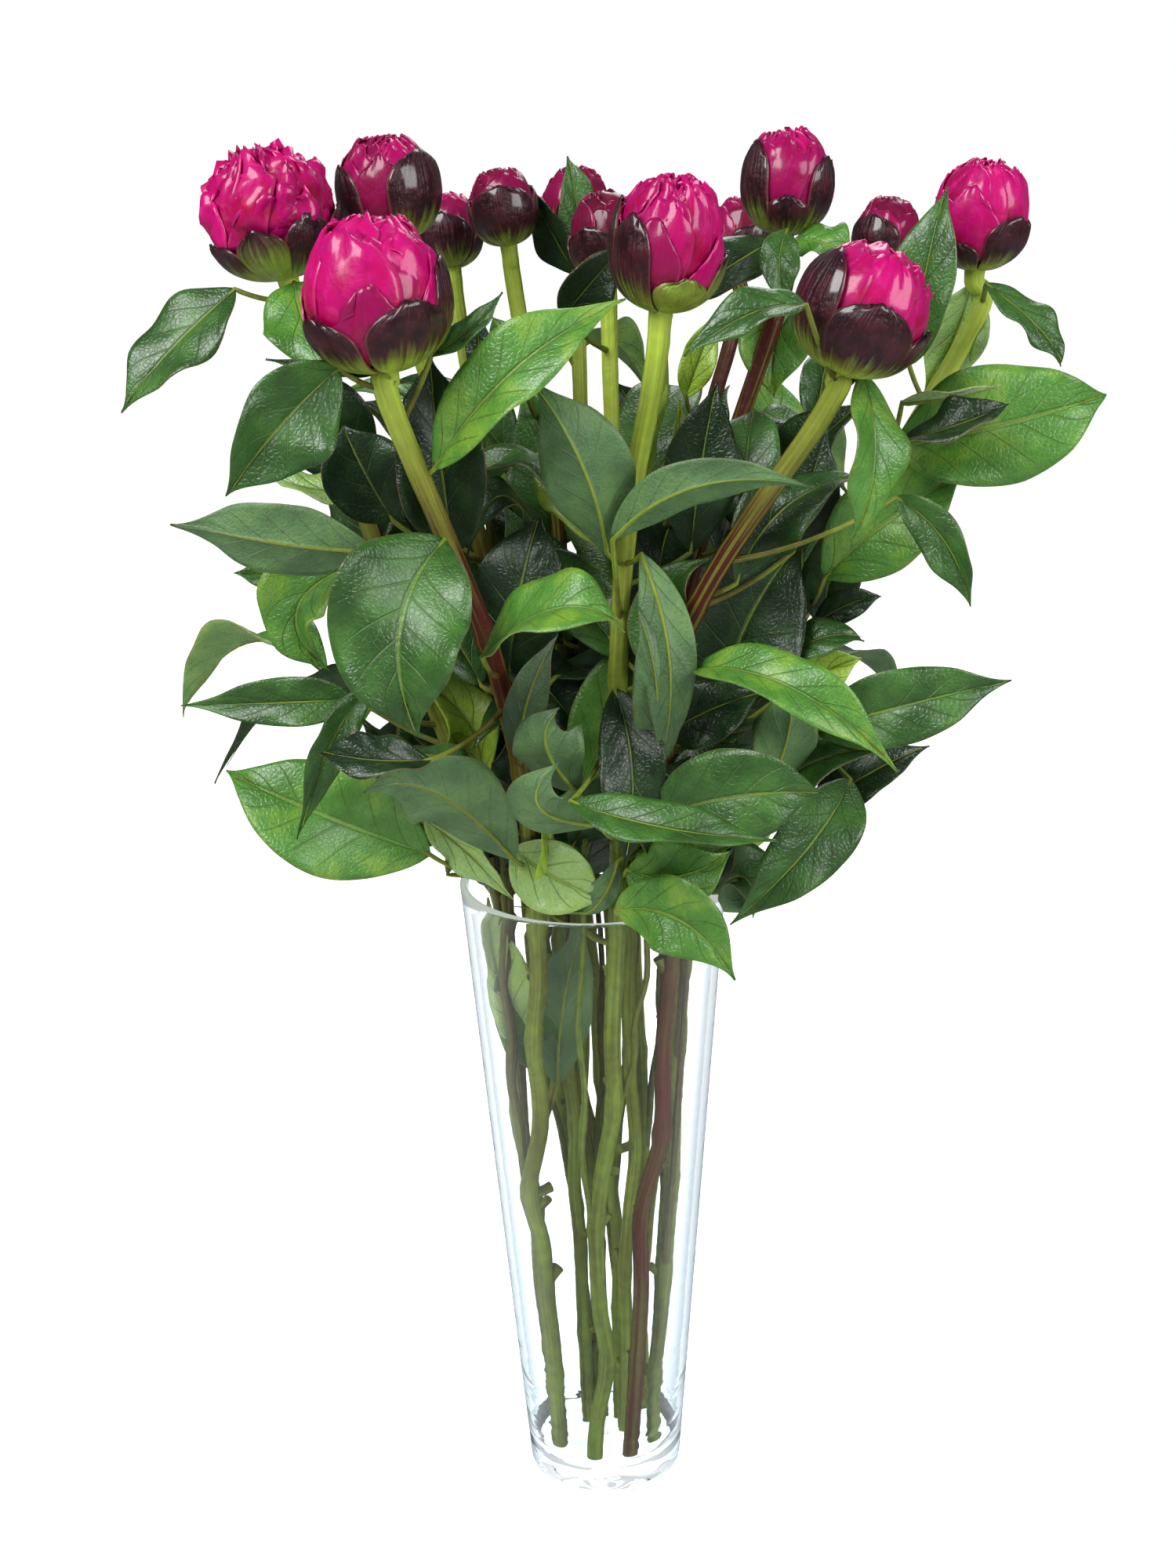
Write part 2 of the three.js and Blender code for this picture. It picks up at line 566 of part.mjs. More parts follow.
// Broad outer petals, a crown of inner ones behind the gaps, and the heart that they grow from.
function petalsSolid(peony) {
  const step = PETAL_THICKNESS / (peony.width / 2);
  const crownLevel = 1 - FACET_SAG - 1.4 * step;
  const heart = crownLevel - HEART_STEPS * step;
  const sunk = heart - 2 * step;
  const large = peony.width > LARGE_BUD;
  const core = new THREE.SphereGeometry(heart, large ? 7 : 6, 4);
  core.rotateX(Math.PI / 2);
  core.scale(peony.width / 2, peony.width / 2, peony.height / 2);
  const pieces = [solid(placeBud(peony, core))];
  const outer = Math.ceil(peony.petals / 2);
  const inner = peony.petals - outer;
  for (let petal = 0; petal < outer; petal += 1) {
    pieces.push(scale(peony, {
      azimuth: peony.turn + (360 * petal) / outer,
      spread: (180 * OUTER_PETAL_COVER) / outer,
      from: 150,
      to: 32,
      level: 1 - peony.flare,
      sunk,
      lift: peony.flare,
      thickness: PETAL_THICKNESS,
      columns: large ? 3 : 2,
      rows: 3,
    }));
  }
  for (let petal = 0; petal < inner; petal += 1) {
    pieces.push(scale(peony, {
      azimuth: peony.turn + (360 * (petal + 0.5)) / inner,
      spread: (180 * CROWN_PETAL_COVER) / inner,
      from: 88,
      to: 12,
      level: crownLevel,
      sunk,
      lift: CROWN_RISE,
      thickness: PETAL_THICKNESS,
      columns: 2,
      rows: 2,
    }));
  }
  return fuse(pieces);
}

// Leathery sepals that hold the lower part of the bud, on the knob at the top of the stem.
function sepalsSolid(peony) {
  const below = -peony.height / 2 - 1;
  const knobRadius = Math.min(KNOB_RADIUS, peony.width * 0.24);
  const large = peony.width > LARGE_BUD;
  const profile = [
    [0, below - KNOB_LENGTH],
    [peony.stem, below - KNOB_LENGTH],
    [knobRadius, below - KNOB_LENGTH * 0.4],
    [knobRadius, below],
    [0, below],
  ].map(([radius, height]) => new THREE.Vector2(radius, height));
  const knob = new THREE.LatheGeometry(profile, 6);
  knob.rotateX(Math.PI / 2);
  const pieces = [solid(placeBud(peony, knob))];
  for (const [heading, spread, reach] of peony.sepals) {
    const columns = large && spread > WIDE_SEPAL ? 3 : 2;
    const rows = reach > LOW_SEPAL ? 2 : 3;
    const acrossSag = 1 - Math.cos(radians(spread / columns));
    const alongSag = 1 - Math.cos(radians((SEPAL_START - reach) / (2 * rows)));
    const sag = acrossSag + alongSag;
    const level = 1 + sag + (PIECE_GAP + SEPAL_THICKNESS) / (peony.width / 2);
    pieces.push(scale(peony, {
      azimuth: heading + FRONT,
      spread,
      from: SEPAL_START,
      to: reach,
      level,
      sunk: level,
      lift: 0,
      thickness: SEPAL_THICKNESS,
      columns,
      rows,
    }));
  }
  return fuse(pieces);
}

// ---- Assembly -----------------------------------------------------------------------------

function leafyStemSolid(name, peony) {
  const curve = stemCurve(peony);
  const leaves = LEAVES.filter(([stem]) => stem === name).map((row) => leafSolid(curve, row));
  const sprays = SPRAYS.filter(([stem]) => stem === name).flatMap((row) => spraySolids(curve, row));
  return fuse([stemSolid(peony), ...leaves, ...sprays]);
}

const bouquet = new THREE.Group();
bouquet.name = 'peonies_in_a_vase';
bouquet.add(meshOf('vase', vaseSolid(), GLASS));
for (const [name, peony] of Object.entries(PEONIES)) {
  bouquet.add(meshOf(`${name}_stem`, leafyStemSolid(name, peony), LEAF_GREEN));
  bouquet.add(meshOf(`${name}_petals`, petalsSolid(peony), PETAL_MAGENTA));
  bouquet.add(meshOf(`${name}_sepals`, sepalsSolid(peony), SEPAL_MAROON));
}

export default bouquet;
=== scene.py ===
"""Thirteen cut peonies in bud, with their leafy stems, in a plain conical glass vase.

Metres, +Z up. The origin is the middle of the vase's underside and the front is -Y.
"""
import logging
import math
from collections.abc import Sequence
from dataclasses import dataclass, field
from enum import Enum
from functools import cache

import bpy
import numpy as np
from mathutils import Matrix, Vector


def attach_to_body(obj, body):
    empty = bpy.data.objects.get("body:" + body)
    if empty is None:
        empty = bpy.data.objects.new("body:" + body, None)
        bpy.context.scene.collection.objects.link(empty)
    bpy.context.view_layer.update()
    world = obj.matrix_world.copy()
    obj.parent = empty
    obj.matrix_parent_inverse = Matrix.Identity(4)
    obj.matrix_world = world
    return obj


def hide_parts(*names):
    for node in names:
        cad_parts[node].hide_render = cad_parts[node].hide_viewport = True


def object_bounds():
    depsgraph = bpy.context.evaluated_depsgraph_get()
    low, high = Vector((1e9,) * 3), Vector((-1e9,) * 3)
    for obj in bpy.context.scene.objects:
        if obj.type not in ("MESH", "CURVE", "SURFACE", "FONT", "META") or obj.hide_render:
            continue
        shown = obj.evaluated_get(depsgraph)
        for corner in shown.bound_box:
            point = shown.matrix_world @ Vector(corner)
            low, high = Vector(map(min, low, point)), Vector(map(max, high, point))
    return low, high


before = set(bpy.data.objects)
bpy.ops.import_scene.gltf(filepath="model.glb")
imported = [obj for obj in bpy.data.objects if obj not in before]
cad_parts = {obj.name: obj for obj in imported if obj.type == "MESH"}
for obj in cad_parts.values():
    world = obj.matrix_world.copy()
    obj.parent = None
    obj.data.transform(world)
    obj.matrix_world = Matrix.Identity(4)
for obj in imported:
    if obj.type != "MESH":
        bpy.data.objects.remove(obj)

CAD_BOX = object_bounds()
BODY = "root"

Array = np.ndarray
Point = tuple[float, float, float]
Socket = bpy.types.NodeSocket
Colour = tuple[float, float, float, float]
Curve = tuple[Array, Array, Array]
Skin = tuple[Socket, Socket, Socket]

WHITE: Colour = (1.0, 1.0, 1.0, 1.0)
INNER_MIRROR = 0.8
VEIN_LEAN = 1.6
VEIN_CURVE = 0.8
VEIN_STAGGER = 0.45
BLADE_SEED = 3.0
CANE_SEED = 5.0

log = logging.getLogger("bouquet")


# ---- Named options ------------------------------------------------------------------------


class Facing(Enum):
    """Which way the upper side of a leaf looks."""

    FRONT = (0.0, -1.0, 0.3)
    UP = (0.0, -0.6, 0.8)
    UNDER = (0.0, 1.0, 0.3)
    LEFT = (-0.6, -0.8, 0.2)
    RIGHT = (0.6, -0.8, 0.2)
    LID = (0.0, 0.35, 1.0)


class Tone(Enum):
    """How old and how lit a leaf's green looks, from 0, deep, to 1, pale."""

    DARK = 0.0
    MID = 0.25
    FRESH = 0.5
    LIME = 0.75
    PALE = 1.0


class Slot(Enum):
    """The material slots of the part."""

    GLASS = "vase_glass"
    LEAF = "leaf_green"
    PETAL = "petal_magenta"
    SEPAL = "sepal_maroon"


FRONT, UP, UNDER, LEFT, RIGHT, LID = Facing
DARK, MID, FRESH, LIME, PALE = Tone


# ---- Small geometry -----------------------------------------------------------------------


def paint(code: str) -> Colour:
    """Turns a display colour such as "3c642d" into the linear colour of a material.

    Args:
        code: Six hexadecimal digits.

    Returns:
        Red, green, blue and alpha, linear.
    """
    channels = [int(code[start : start + 2], 16) / 255 for start in (0, 2, 4)]
    linear = [c / 12.92 if c <= 0.04045 else ((c + 0.055) / 1.055) ** 2.4 for c in channels]
    return (*linear, 1.0)


def unit(vectors: Array) -> Array:
    """Scales vectors, along the last axis, to length 1."""
    return vectors / np.linalg.norm(vectors, axis=-1, keepdims=True)


def square_to(direction: Array, tangent: Array) -> Array:
    """Gives the unit part of direction that is square to each tangent."""
    along = np.sum(direction * tangent, axis=-1, keepdims=True)
    return unit(direction - along * tangent)


def smooth(value: Array, low: float, high: float) -> Array:
    """Rises smoothly from 0 at low to 1 at high."""
    share = np.clip((value - low) / (high - low), 0.0, 1.0)
    return share * share * (3 - 2 * share)


def keep_inside(points: Array, margin: float = 0.0012, soft: float = 0.004) -> Array:
    """Eases points that reach past the solids' box back inside it.

    Args:
        points: The points.
        margin: How far inside the box they stay, in metres.
        soft: Over what length they are eased.

    Returns:
        The points, none of them outside.
    """
    low, high = np.array(CAD_BOX[0]) + margin, np.array(CAD_BOX[1]) - margin
    over = np.maximum(points - high + soft, 0.0)
    points = np.where(over > 0, high - soft * np.exp(-over / soft), points)
    under = np.maximum(low + soft - points, 0.0)
    return np.where(under > 0, low + soft * np.exp(-under / soft), points)


def bezier(start: Array, handle: Array, end: Array, shares: Array) -> tuple[Array, Array]:
    """Follows a curve with one handle.

    Args:
        start: First point.
        handle: The point that the curve bends towards.
        end: Last point.
        shares: Where to read the curve, from 0 to 1.

    Returns:
        The points, and the unit tangents there.
    """
    s = shares[:, None]
    points = (1 - s) ** 2 * start + 2 * s * (1 - s) * handle + s**2 * end
    return points, unit((1 - s) * (handle - start) + s * (end - handle))


def through(knots: Array, shares: Array) -> Array:
    """Follows a smooth curve that passes through its knots.

    Args:
        knots: The points that it passes, one per row.
        shares: Where to read the curve, from 0 to 1.

    Returns:
        The points of the curve.
    """
    padded = np.vstack([2 * knots[0] - knots[1], knots, 2 * knots[-1] - knots[-2]])
    place = shares * (len(knots) - 1)
    span = np.minimum(place.astype(int), len(knots) - 2)
    w = (place - span)[:, None]
    before, start, end, after = (padded[span + step] for step in range(4))
    leaving, arriving = (end - before) / 2, (after - start) / 2
    return (
        (2 * w**3 - 3 * w**2 + 1) * start
        + (w**3 - 2 * w**2 + w) * leaving
        + (3 * w**2 - 2 * w**3) * end
        + (w**3 - w**2) * arriving
    )


# ---- Node trees ---------------------------------------------------------------------------


class Graph:
    """Adds nodes to a shader or geometry tree, one step at a time."""

    def __init__(self, tree: bpy.types.NodeTree) -> None:
        """Starts on a tree."""
        self.tree = tree

    def link(self, start: Socket, end: Socket) -> None:
        """Links an output to an input."""
        self.tree.links.new(start, end)

    def feed(self, node: bpy.types.Node, feeds: dict) -> None:
        """Fills a node's sockets.

        Args:
            node: The node.
            feeds: What goes into its sockets, by name or number: a value or a socket.
        """
        for key, value in feeds.items():
            if isinstance(value, Socket):
                self.link(value, node.inputs[key])
            else:
                node.inputs[key].default_value = value

    def add(self, kind: str, feeds: dict | None = None, **settings: object) -> bpy.types.Node:
        """Adds a node.

        Args:
            kind: The node's type.
            feeds: What goes into its sockets.
            **settings: Properties of the node.

        Returns:
            The node.
        """
        node = self.tree.nodes.new(kind)
        for name, value in settings.items():
            setattr(node, name, value)
        self.feed(node, feeds or {})
        return node

    def out(self, kind: str, feeds: dict | None = None, **settings: object) -> Socket:
        """Adds a node, as add does, and gives its first output."""
        return self.add(kind, feeds, **settings).outputs[0]

    def math(self, operation: str, *values: float | Socket, clamp: bool = False) -> Socket:
        """Adds a sum, product or other operation on numbers.

        Args:
            operation: The operation's name, such as "ADD".
            *values: Its numbers or sockets.
            clamp: Whether the result is held between 0 and 1.

        Returns:
            The result.
        """
        feeds = dict(enumerate(values))
        return self.out("ShaderNodeMath", feeds, operation=operation, use_clamp=clamp)

    def times(self, first: float | Socket, second: float | Socket) -> Socket:
        """Adds a product."""
        return self.math("MULTIPLY", first, second)

    def less(self, first: float | Socket, second: float | Socket) -> Socket:
        """Adds a difference."""
        return self.math("SUBTRACT", first, second)

    def line(self, value: Socket, factor: float | Socket, shift: float | Socket) -> Socket:
        """Adds value times factor, plus shift."""
        return self.math("MULTIPLY_ADD", value, factor, shift)

    def step(self, value: Socket, low: float | Socket, high: float | Socket) -> Socket:
        """Adds a smooth step from 0 where value is low to 1 where it is high; high may be less."""
        feeds = {"Value": value, "From Min": low, "From Max": high}
        return self.out("ShaderNodeMapRange", feeds, interpolation_type="SMOOTHSTEP")

    def blend(self, share: float | Socket, first: str | Socket, second: str | Socket) -> Socket:
        """Adds a mix of two colours.

        Args:
            share: 0 for the first colour, 1 for the second.
            first: The first colour, as a display colour's code or a socket.
            second: The second colour.

        Returns:
            The mixed colour.
        """
        plain = [paint(colour) if isinstance(colour, str) else colour for colour in (first, second)]
        feeds = {0: share, 6: plain[0], 7: plain[1]}
        return self.add("ShaderNodeMix", feeds, data_type="RGBA").outputs[2]

    def ramp(self, value: Socket, codes: Sequence[str]) -> Socket:
        """Adds a ramp of colours at even distances.

        Args:
            value: Where the ramp is read, from 0 to 1.
            codes: The display colours from its start to its end.

        Returns:
            The colour.
        """
        node = self.add("ShaderNodeValToRGB", {0: value})
        stops = node.color_ramp.elements
        for number, code in enumerate(codes[1:-1], start=1):
            stops.new(number / (len(codes) - 1)).color = paint(code)
        stops[0].color, stops[-1].color = paint(codes[0]), paint(codes[-1])
        return node.outputs[0]

    def watched(self) -> Socket:
        """Adds a mask that tells whether a ray comes from the camera, also through clear glass.

        Returns:
            1 for what the camera sees, 0 for light that bounced off another surface.
        """
        path = self.add("ShaderNodeLightPath").outputs
        direct = self.math("SUBTRACT", 1.0, path["Diffuse Depth"], clamp=True)
        mirrored = self.math("MINIMUM", path["Glossy Depth"], 1.0)
        thin = self.math("COMPARE", path["Transmission Depth"], 1.5, 1.0)
        inner = self.times(self.times(mirrored, thin), INNER_MIRROR)
        clean = self.math("MAXIMUM", self.less(1.0, mirrored), inner)
        return self.times(direct, clean)

    def parts(self, name: str) -> list[Socket]:
        """Adds the X, Y and Z of a vector attribute."""
        vector = self.add("ShaderNodeAttribute", attribute_name=name).outputs["Vector"]
        return list(self.add("ShaderNodeSeparateXYZ", {0: vector}).outputs)

    def place(self, group: bpy.types.NodeTree, **feeds: float | Socket) -> Socket:
        """Places a shader node group.

        Args:
            group: The group's tree.
            **feeds: Its inputs by name.

        Returns:
            Its output.
        """
        return self.out("ShaderNodeGroup", feeds, node_tree=group)

    # ---- Geometry trees -------------------------------------------------------------------

    def named(self, name: str, kind: str = "FLOAT") -> Socket:
        """Adds a reading of a named attribute."""
        return self.out("GeometryNodeInputNamedAttribute", {"Name": name}, data_type=kind)

    def store(
        self,
        shape: Socket,
        name: str,
        value: float | Socket,
        kind: str = "FLOAT",
        domain: str = "POINT",
    ) -> Socket:
        """Adds a named attribute to a shape.

        Args:
            shape: The shape.
            name: The attribute's name.
            value: What it holds.
            kind: Its data type.
            domain: What it is stored on.

        Returns:
            The shape with it.
        """
        feeds = {0: shape, "Name": name, "Value": value}
        return self.out("GeometryNodeStoreNamedAttribute", feeds, data_type=kind, domain=domain)

    def waves(self, size: Socket, seed: Socket, detail: float) -> Socket:
        """Adds smooth noise from about -1 to 1.

        Args:
            size: How long its waves are, in metres.
            seed: A number that changes its pattern.
            detail: How much finer noise it also has.

        Returns:
            The noise.
        """
        feeds = {
            "Vector": self.out("GeometryNodeInputPosition"),
            "W": seed,
            "Scale": self.math("DIVIDE", 1.0, size),
            "Detail": detail,
        }
        return self.line(self.out("ShaderNodeTexNoise", feeds, noise_dimensions="4D"), 4.0, -2.0)

    def push(self, shape: Socket, distance: Socket) -> Socket:
        """Moves a shape's points along their normals by a distance in metres."""
        normal = self.out("GeometryNodeInputNormal")
        offset = self.add("ShaderNodeVectorMath", {0: normal, "Scale": distance}, operation="SCALE")
        return self.out("GeometryNodeSetPosition", {0: shape, "Offset": offset.outputs[0]})

    def close(self, shape: Socket, material: Socket, result: Socket) -> None:
        """Ends a tree: instances made real, and the material set.

        Args:
            shape: The geometry so far.
            material: The material input.
            result: The tree's output socket.
        """
        real = self.out("GeometryNodeRealizeInstances", {0: shape})
        dressed = self.add("GeometryNodeSetMaterial", {"Geometry": real, "Material": material})
        self.link(dressed.outputs[0], result)


def shader_group(name: str, **inputs: float) -> tuple[Graph, dict[str, Socket], Socket]:
    """Starts a shader node group with named inputs and one output, a mask.

    Args:
        name: The group's name.
        **inputs: The inputs with their usual values.

    Returns:
        A graph on the group, its input sockets by name, and the socket that its result goes to.
    """
    tree = bpy.data.node_groups.new(name, "ShaderNodeTree")
    for key, value in inputs.items():
        socket = tree.interface.new_socket(key, in_out="INPUT", socket_type="NodeSocketFloat")
        socket.default_value = value
    tree.interface.new_socket("Mask", in_out="OUTPUT", socket_type="NodeSocketFloat")
    graph = Graph(tree)
    entry, result = graph.add("NodeGroupInput"), graph.add("NodeGroupOutput")
    return graph, {key: entry.outputs[key] for key in inputs}, result.inputs[0]


class Effects:
    """Masks that several finishes share, each a shader node group built once."""

    @staticmethod
    @cache
    def mottle() -> bpy.types.NodeTree:
        """Builds soft blotches in the piece's own space: 0 outside them, 1 inside."""
        graph, given, result = shader_group("Mottle", Size=0.01, Low=0.35, High=0.65)
        spot = graph.add("ShaderNodeTexCoord").outputs["Object"]
        scale = graph.math("DIVIDE", 1.0, given["Size"])
        feeds = {"Vector": spot, "Scale": scale, "Detail": 4.0, "Roughness": 0.55}
        noise = graph.out("ShaderNodeTexNoise", feeds)
        graph.link(graph.step(noise, given["Low"], given["High"]), result)
        return graph.tree

    @staticmethod
    @cache
    def margin() -> bpy.types.NodeTree:
        """Builds a line along the side edges of a blade: 0 inside it, 1 at its edge."""
        graph, given, result = shader_group("Margin", Across=0.0, Start=0.95)
        edge = graph.math("ABSOLUTE", given["Across"])
        graph.link(graph.step(edge, given["Start"], 1.0), result)
        return graph.tree

    @staticmethod
    @cache
    def strands() -> bpy.types.NodeTree:
        """Builds fine uneven lines that run along a piece, from 0 to 1."""
        usual = {"Across": 0.0, "Along": 0.0, "Count": 20.0, "Length": 2.0, "Seed": 0.0}
        graph, given, result = shader_group("Strands", **usual)
        feeds = {
            0: graph.times(given["Across"], given["Count"]),
            1: graph.times(given["Along"], given["Length"]),
            2: graph.times(given["Seed"], 30.0),
        }
        spot = graph.out("ShaderNodeCombineXYZ", feeds)
        noise = graph.add("ShaderNodeTexNoise", {"Vector": spot, "Scale": 1.0, "Detail": 3.0})
        graph.link(graph.step(noise.outputs[0], 0.3, 0.7), result)
        return graph.tree

    @staticmethod
    @cache
    def veins() -> bpy.types.NodeTree:
        """Builds a midrib with side veins that bend towards the tip: 1 on them, 0 between."""
        usual = {"Across": 0.0, "Along": 0.0, "Pairs": 7.0, "Lean": VEIN_LEAN, "Width": 0.12}
        graph, given, result = shader_group("Veins", **usual)
        edge = graph.math("ABSOLUTE", given["Across"])
        lean = graph.times(graph.math("POWER", edge, VEIN_CURVE), given["Lean"])
        stagger = graph.times(graph.math("GREATER_THAN", given["Across"], 0.0), VEIN_STAGGER)
        rank = graph.times(given["Along"], given["Pairs"])
        phase = graph.math("ADD", graph.less(rank, lean), stagger)
        part = graph.math("FRACT", graph.math("ADD", phase, 20.0))
        near = graph.times(graph.math("ABSOLUTE", graph.less(part, 0.5)), 2.0)
        thin = graph.times(given["Width"], graph.less(1.25, edge))
        side = graph.step(near, graph.less(1.0, thin), 1.0)
        faded = graph.times(side, graph.step(edge, 0.98, 0.6))
        midrib = graph.step(edge, 0.075, 0.02)
        graph.link(graph.math("MAXIMUM", faded, midrib), result)
        return graph.tree


# ---- Finishes -----------------------------------------------------------------------------


def strands(graph: Graph, place: Sequence[Socket], count: float, length: float) -> Socket:
    """Adds fine lines.

    Args:
        graph: The material's graph.
        place: Where across and along the piece a point lies, and the piece's own number.
        count: How many lines there are across.
        length: How often they change along the piece.

    Returns:
        The lines, from 0 to 1.
    """
    across, along, seed = place
    feeds = {"Across": across, "Along": along, "Count": count, "Length": length, "Seed": seed}
    return graph.place(Effects.strands(), **feeds)


def new_material(name: str) -> tuple[bpy.types.Material, Graph, bpy.types.Node]:
    """Starts a material.

    Args:
        name: The material's name.

    Returns:
        The material, a graph on its tree, and its Principled shader.
    """
    material = bpy.data.materials.new(name)
    material.use_nodes = True
    return material, Graph(material.node_tree), material.node_tree.nodes["Principled BSDF"]


def bump(graph: Graph, height: Socket, depth: float) -> Socket:
    """Adds relief.

    Args:
        graph: The material's graph.
        height: The relief, from 0 to 1.
        depth: How deep it is, in metres.

    Returns:
        The normal that shows it.
    """
    return graph.out("ShaderNodeBump", {"Height": height, "Distance": depth, "Strength": 1.0})


@dataclass(frozen=True)
class Finish:
    """What the finishes of a plant share.

    Attributes:
        roughness: How rough the skin is where it is smoothest.
        shine: How strongly it mirrors.
        relief: How deep its relief is, in metres.
        coat: How strong its waxy coat is.
        coat_roughness: How rough that is.
        glow: How much of the light passes into it.
        glow_tint: How far red, green and blue light travel inside, as shares of glow_depth.
        glow_depth: How far light travels inside, in metres.
    """

    roughness: float = 0.5
    shine: float = 0.5
    relief: float = 0.0005
    coat: float = 0.0
    coat_roughness: float = 0.03
    glow: float = 0.0
    glow_tint: Point = (1.0, 0.2, 0.1)
    glow_depth: float = 0.0015

    name = "plain"

    @cache
    def material(self) -> bpy.types.Material:
        """Builds the material."""
        material, graph, shader = new_material(self.name)
        colour, shine, height = self.skin(graph)
        feeds = {
            "Base Color": colour,
            "Roughness": shine,
            "Normal": bump(graph, height, self.relief),
            "Specular IOR Level": self.shine,
            "Coat Weight": self.coat,
            "Coat Roughness": self.coat_roughness,
            "Subsurface Weight": self.glow,
            "Subsurface Radius": self.glow_tint,
            "Subsurface Scale": self.glow_depth,
        }
        graph.feed(shader, feeds)
        return material

    def skin(self, graph: Graph) -> Skin:
        """Paints the skin.

        Args:
            graph: The material's graph.

        Returns:
            Its colour, its roughness and its height, from 0 to 1.
        """
        raise NotImplementedError


@dataclass(frozen=True)
class LeafFinish(Finish):
    """A peony leaf: smooth deep green above with paler veins, matte grey-green below."""

    roughness: float = 0.34
    roughness_below: float = 0.52
    relief: float = 0.0007
    coat: float = 0.16
    coat_roughness: float = 0.3
    glow: float = 0.15
    glow_tint: Point = (0.5, 1.0, 0.15)
    greens: tuple[str, ...] = ("10280f", "2f551e", "4b7e2b", "90ae30", "86a65e")
    below: tuple[str, ...] = ("30492b", "4a6c3e", "668c46", "98b048", "84a06c")
    vein: str = "8fb060"
    vein_below: str = "a9bf88"
    edge: str = "8a5a4a"
    fleck: str = "142c0e"
    cell: str = "18340f"
    cell_scale: float = 520.0

    name = "leaf"

    def skin(self, graph: Graph) -> Skin:
        """Paints a leaf's two sides."""
        across, along, tone = graph.parts("place")
        pairs, chance, _ = graph.parts("grain")
        under = graph.add("ShaderNodeAttribute", attribute_name="under").outputs["Fac"]
        veins = graph.place(Effects.veins(), Across=across, Along=along, Pairs=pairs)
        blotch = graph.place(Effects.mottle(), Size=0.018, Low=0.3, High=0.7)
        fleck = graph.place(Effects.mottle(), Size=0.0016, Low=0.4, High=0.75)
        edge = graph.place(Effects.margin(), Across=across, Start=0.97)
        # The tone is partly the leaf's age and partly painted light and shade: pale greens for lit
        # leaves, deep greens for shaded ones.
        age = graph.math("ADD", tone, graph.times(graph.less(blotch, 0.5), 0.2), clamp=True)
        share = graph.times(veins, graph.line(tone, 0.16, 0.14))
        above = graph.blend(share, graph.ramp(age, self.greens), self.vein)
        below = graph.blend(graph.times(veins, 0.2), graph.ramp(age, self.below), self.vein_below)
        face = graph.blend(under, above, below)
        spot = graph.add("ShaderNodeTexCoord").outputs["Object"]
        feeds = {"Vector": spot, "Scale": self.cell_scale, "Randomness": 1.0}
        cells = graph.out("ShaderNodeTexVoronoi", feeds, feature="DISTANCE_TO_EDGE")
        mesh = graph.step(cells, 0.0, 0.25)
        face = graph.blend(graph.times(fleck, 0.16), face, self.fleck)
        face = graph.blend(graph.times(mesh, 0.12), face, self.cell)
        face = graph.blend(graph.times(edge, graph.line(chance, 0.45, 0.05)), face, self.edge)
        shine = graph.line(under, self.roughness_below - self.roughness, self.roughness)
        shine = graph.math("ADD", shine, graph.times(blotch, 0.1))
        raised = graph.times(veins, graph.line(under, 1.6, -0.8))
        return face, shine, graph.math("ADD", raised, graph.times(mesh, 0.16))


@dataclass(frozen=True)
class PetalFinish(Finish):
    """A peony petal: hot magenta to crimson, silky, with fine lines that run to its lip and painted
    highlights.
    """

    roughness: float = 0.37
    shine: float = 0.11
    relief: float = 0.00045
    coat: float = 0.48
    coat_roughness: float = 0.15
    glow: float = 0.12
    glow_tint: Point = (1.0, 0.15, 0.35)
    root: str = "480220"
    body: str = "96003a"
    lip: str = "ae0162"
    dusty: str = "540725"
    painted_highlight: str = "dc4c88"

    name = "petal"

    def skin(self, graph: Graph) -> Skin:
        """Paints a petal from its root to its lip."""
        across, along, tone = graph.parts("place")
        _, chance, _ = graph.parts("grain")
        lines = strands(graph, (across, along, chance), 13.0, 1.6)
        cloud = graph.place(Effects.mottle(), Size=0.011, Low=0.3, High=0.7)
        # Pale pink spots where sheen would be: a painted highlight.
        highlight_spots = graph.place(Effects.mottle(), Size=0.006, Low=0.56, High=0.74)
        rise = graph.line(cloud, 0.5, graph.less(along, 0.35))
        colour = graph.blend(graph.step(along, 0.05, 0.45), self.root, self.body)
        colour = graph.blend(graph.step(rise, 0.1, 0.75), colour, self.lip)
        colour = graph.blend(graph.times(lines, 0.2), colour, self.root)
        colour = graph.blend(graph.times(highlight_spots, 0.25), colour, self.painted_highlight)
        colour = graph.blend(tone, colour, self.dusty)
        # A painted highlight in pale pink along the petal's side edges.
        edge = graph.place(Effects.margin(), Across=across, Start=0.9)
        colour = graph.blend(graph.times(edge, 0.25), colour, self.painted_highlight)
        return colour, graph.line(cloud, 0.14, self.roughness), graph.line(lines, 0.14, cloud)


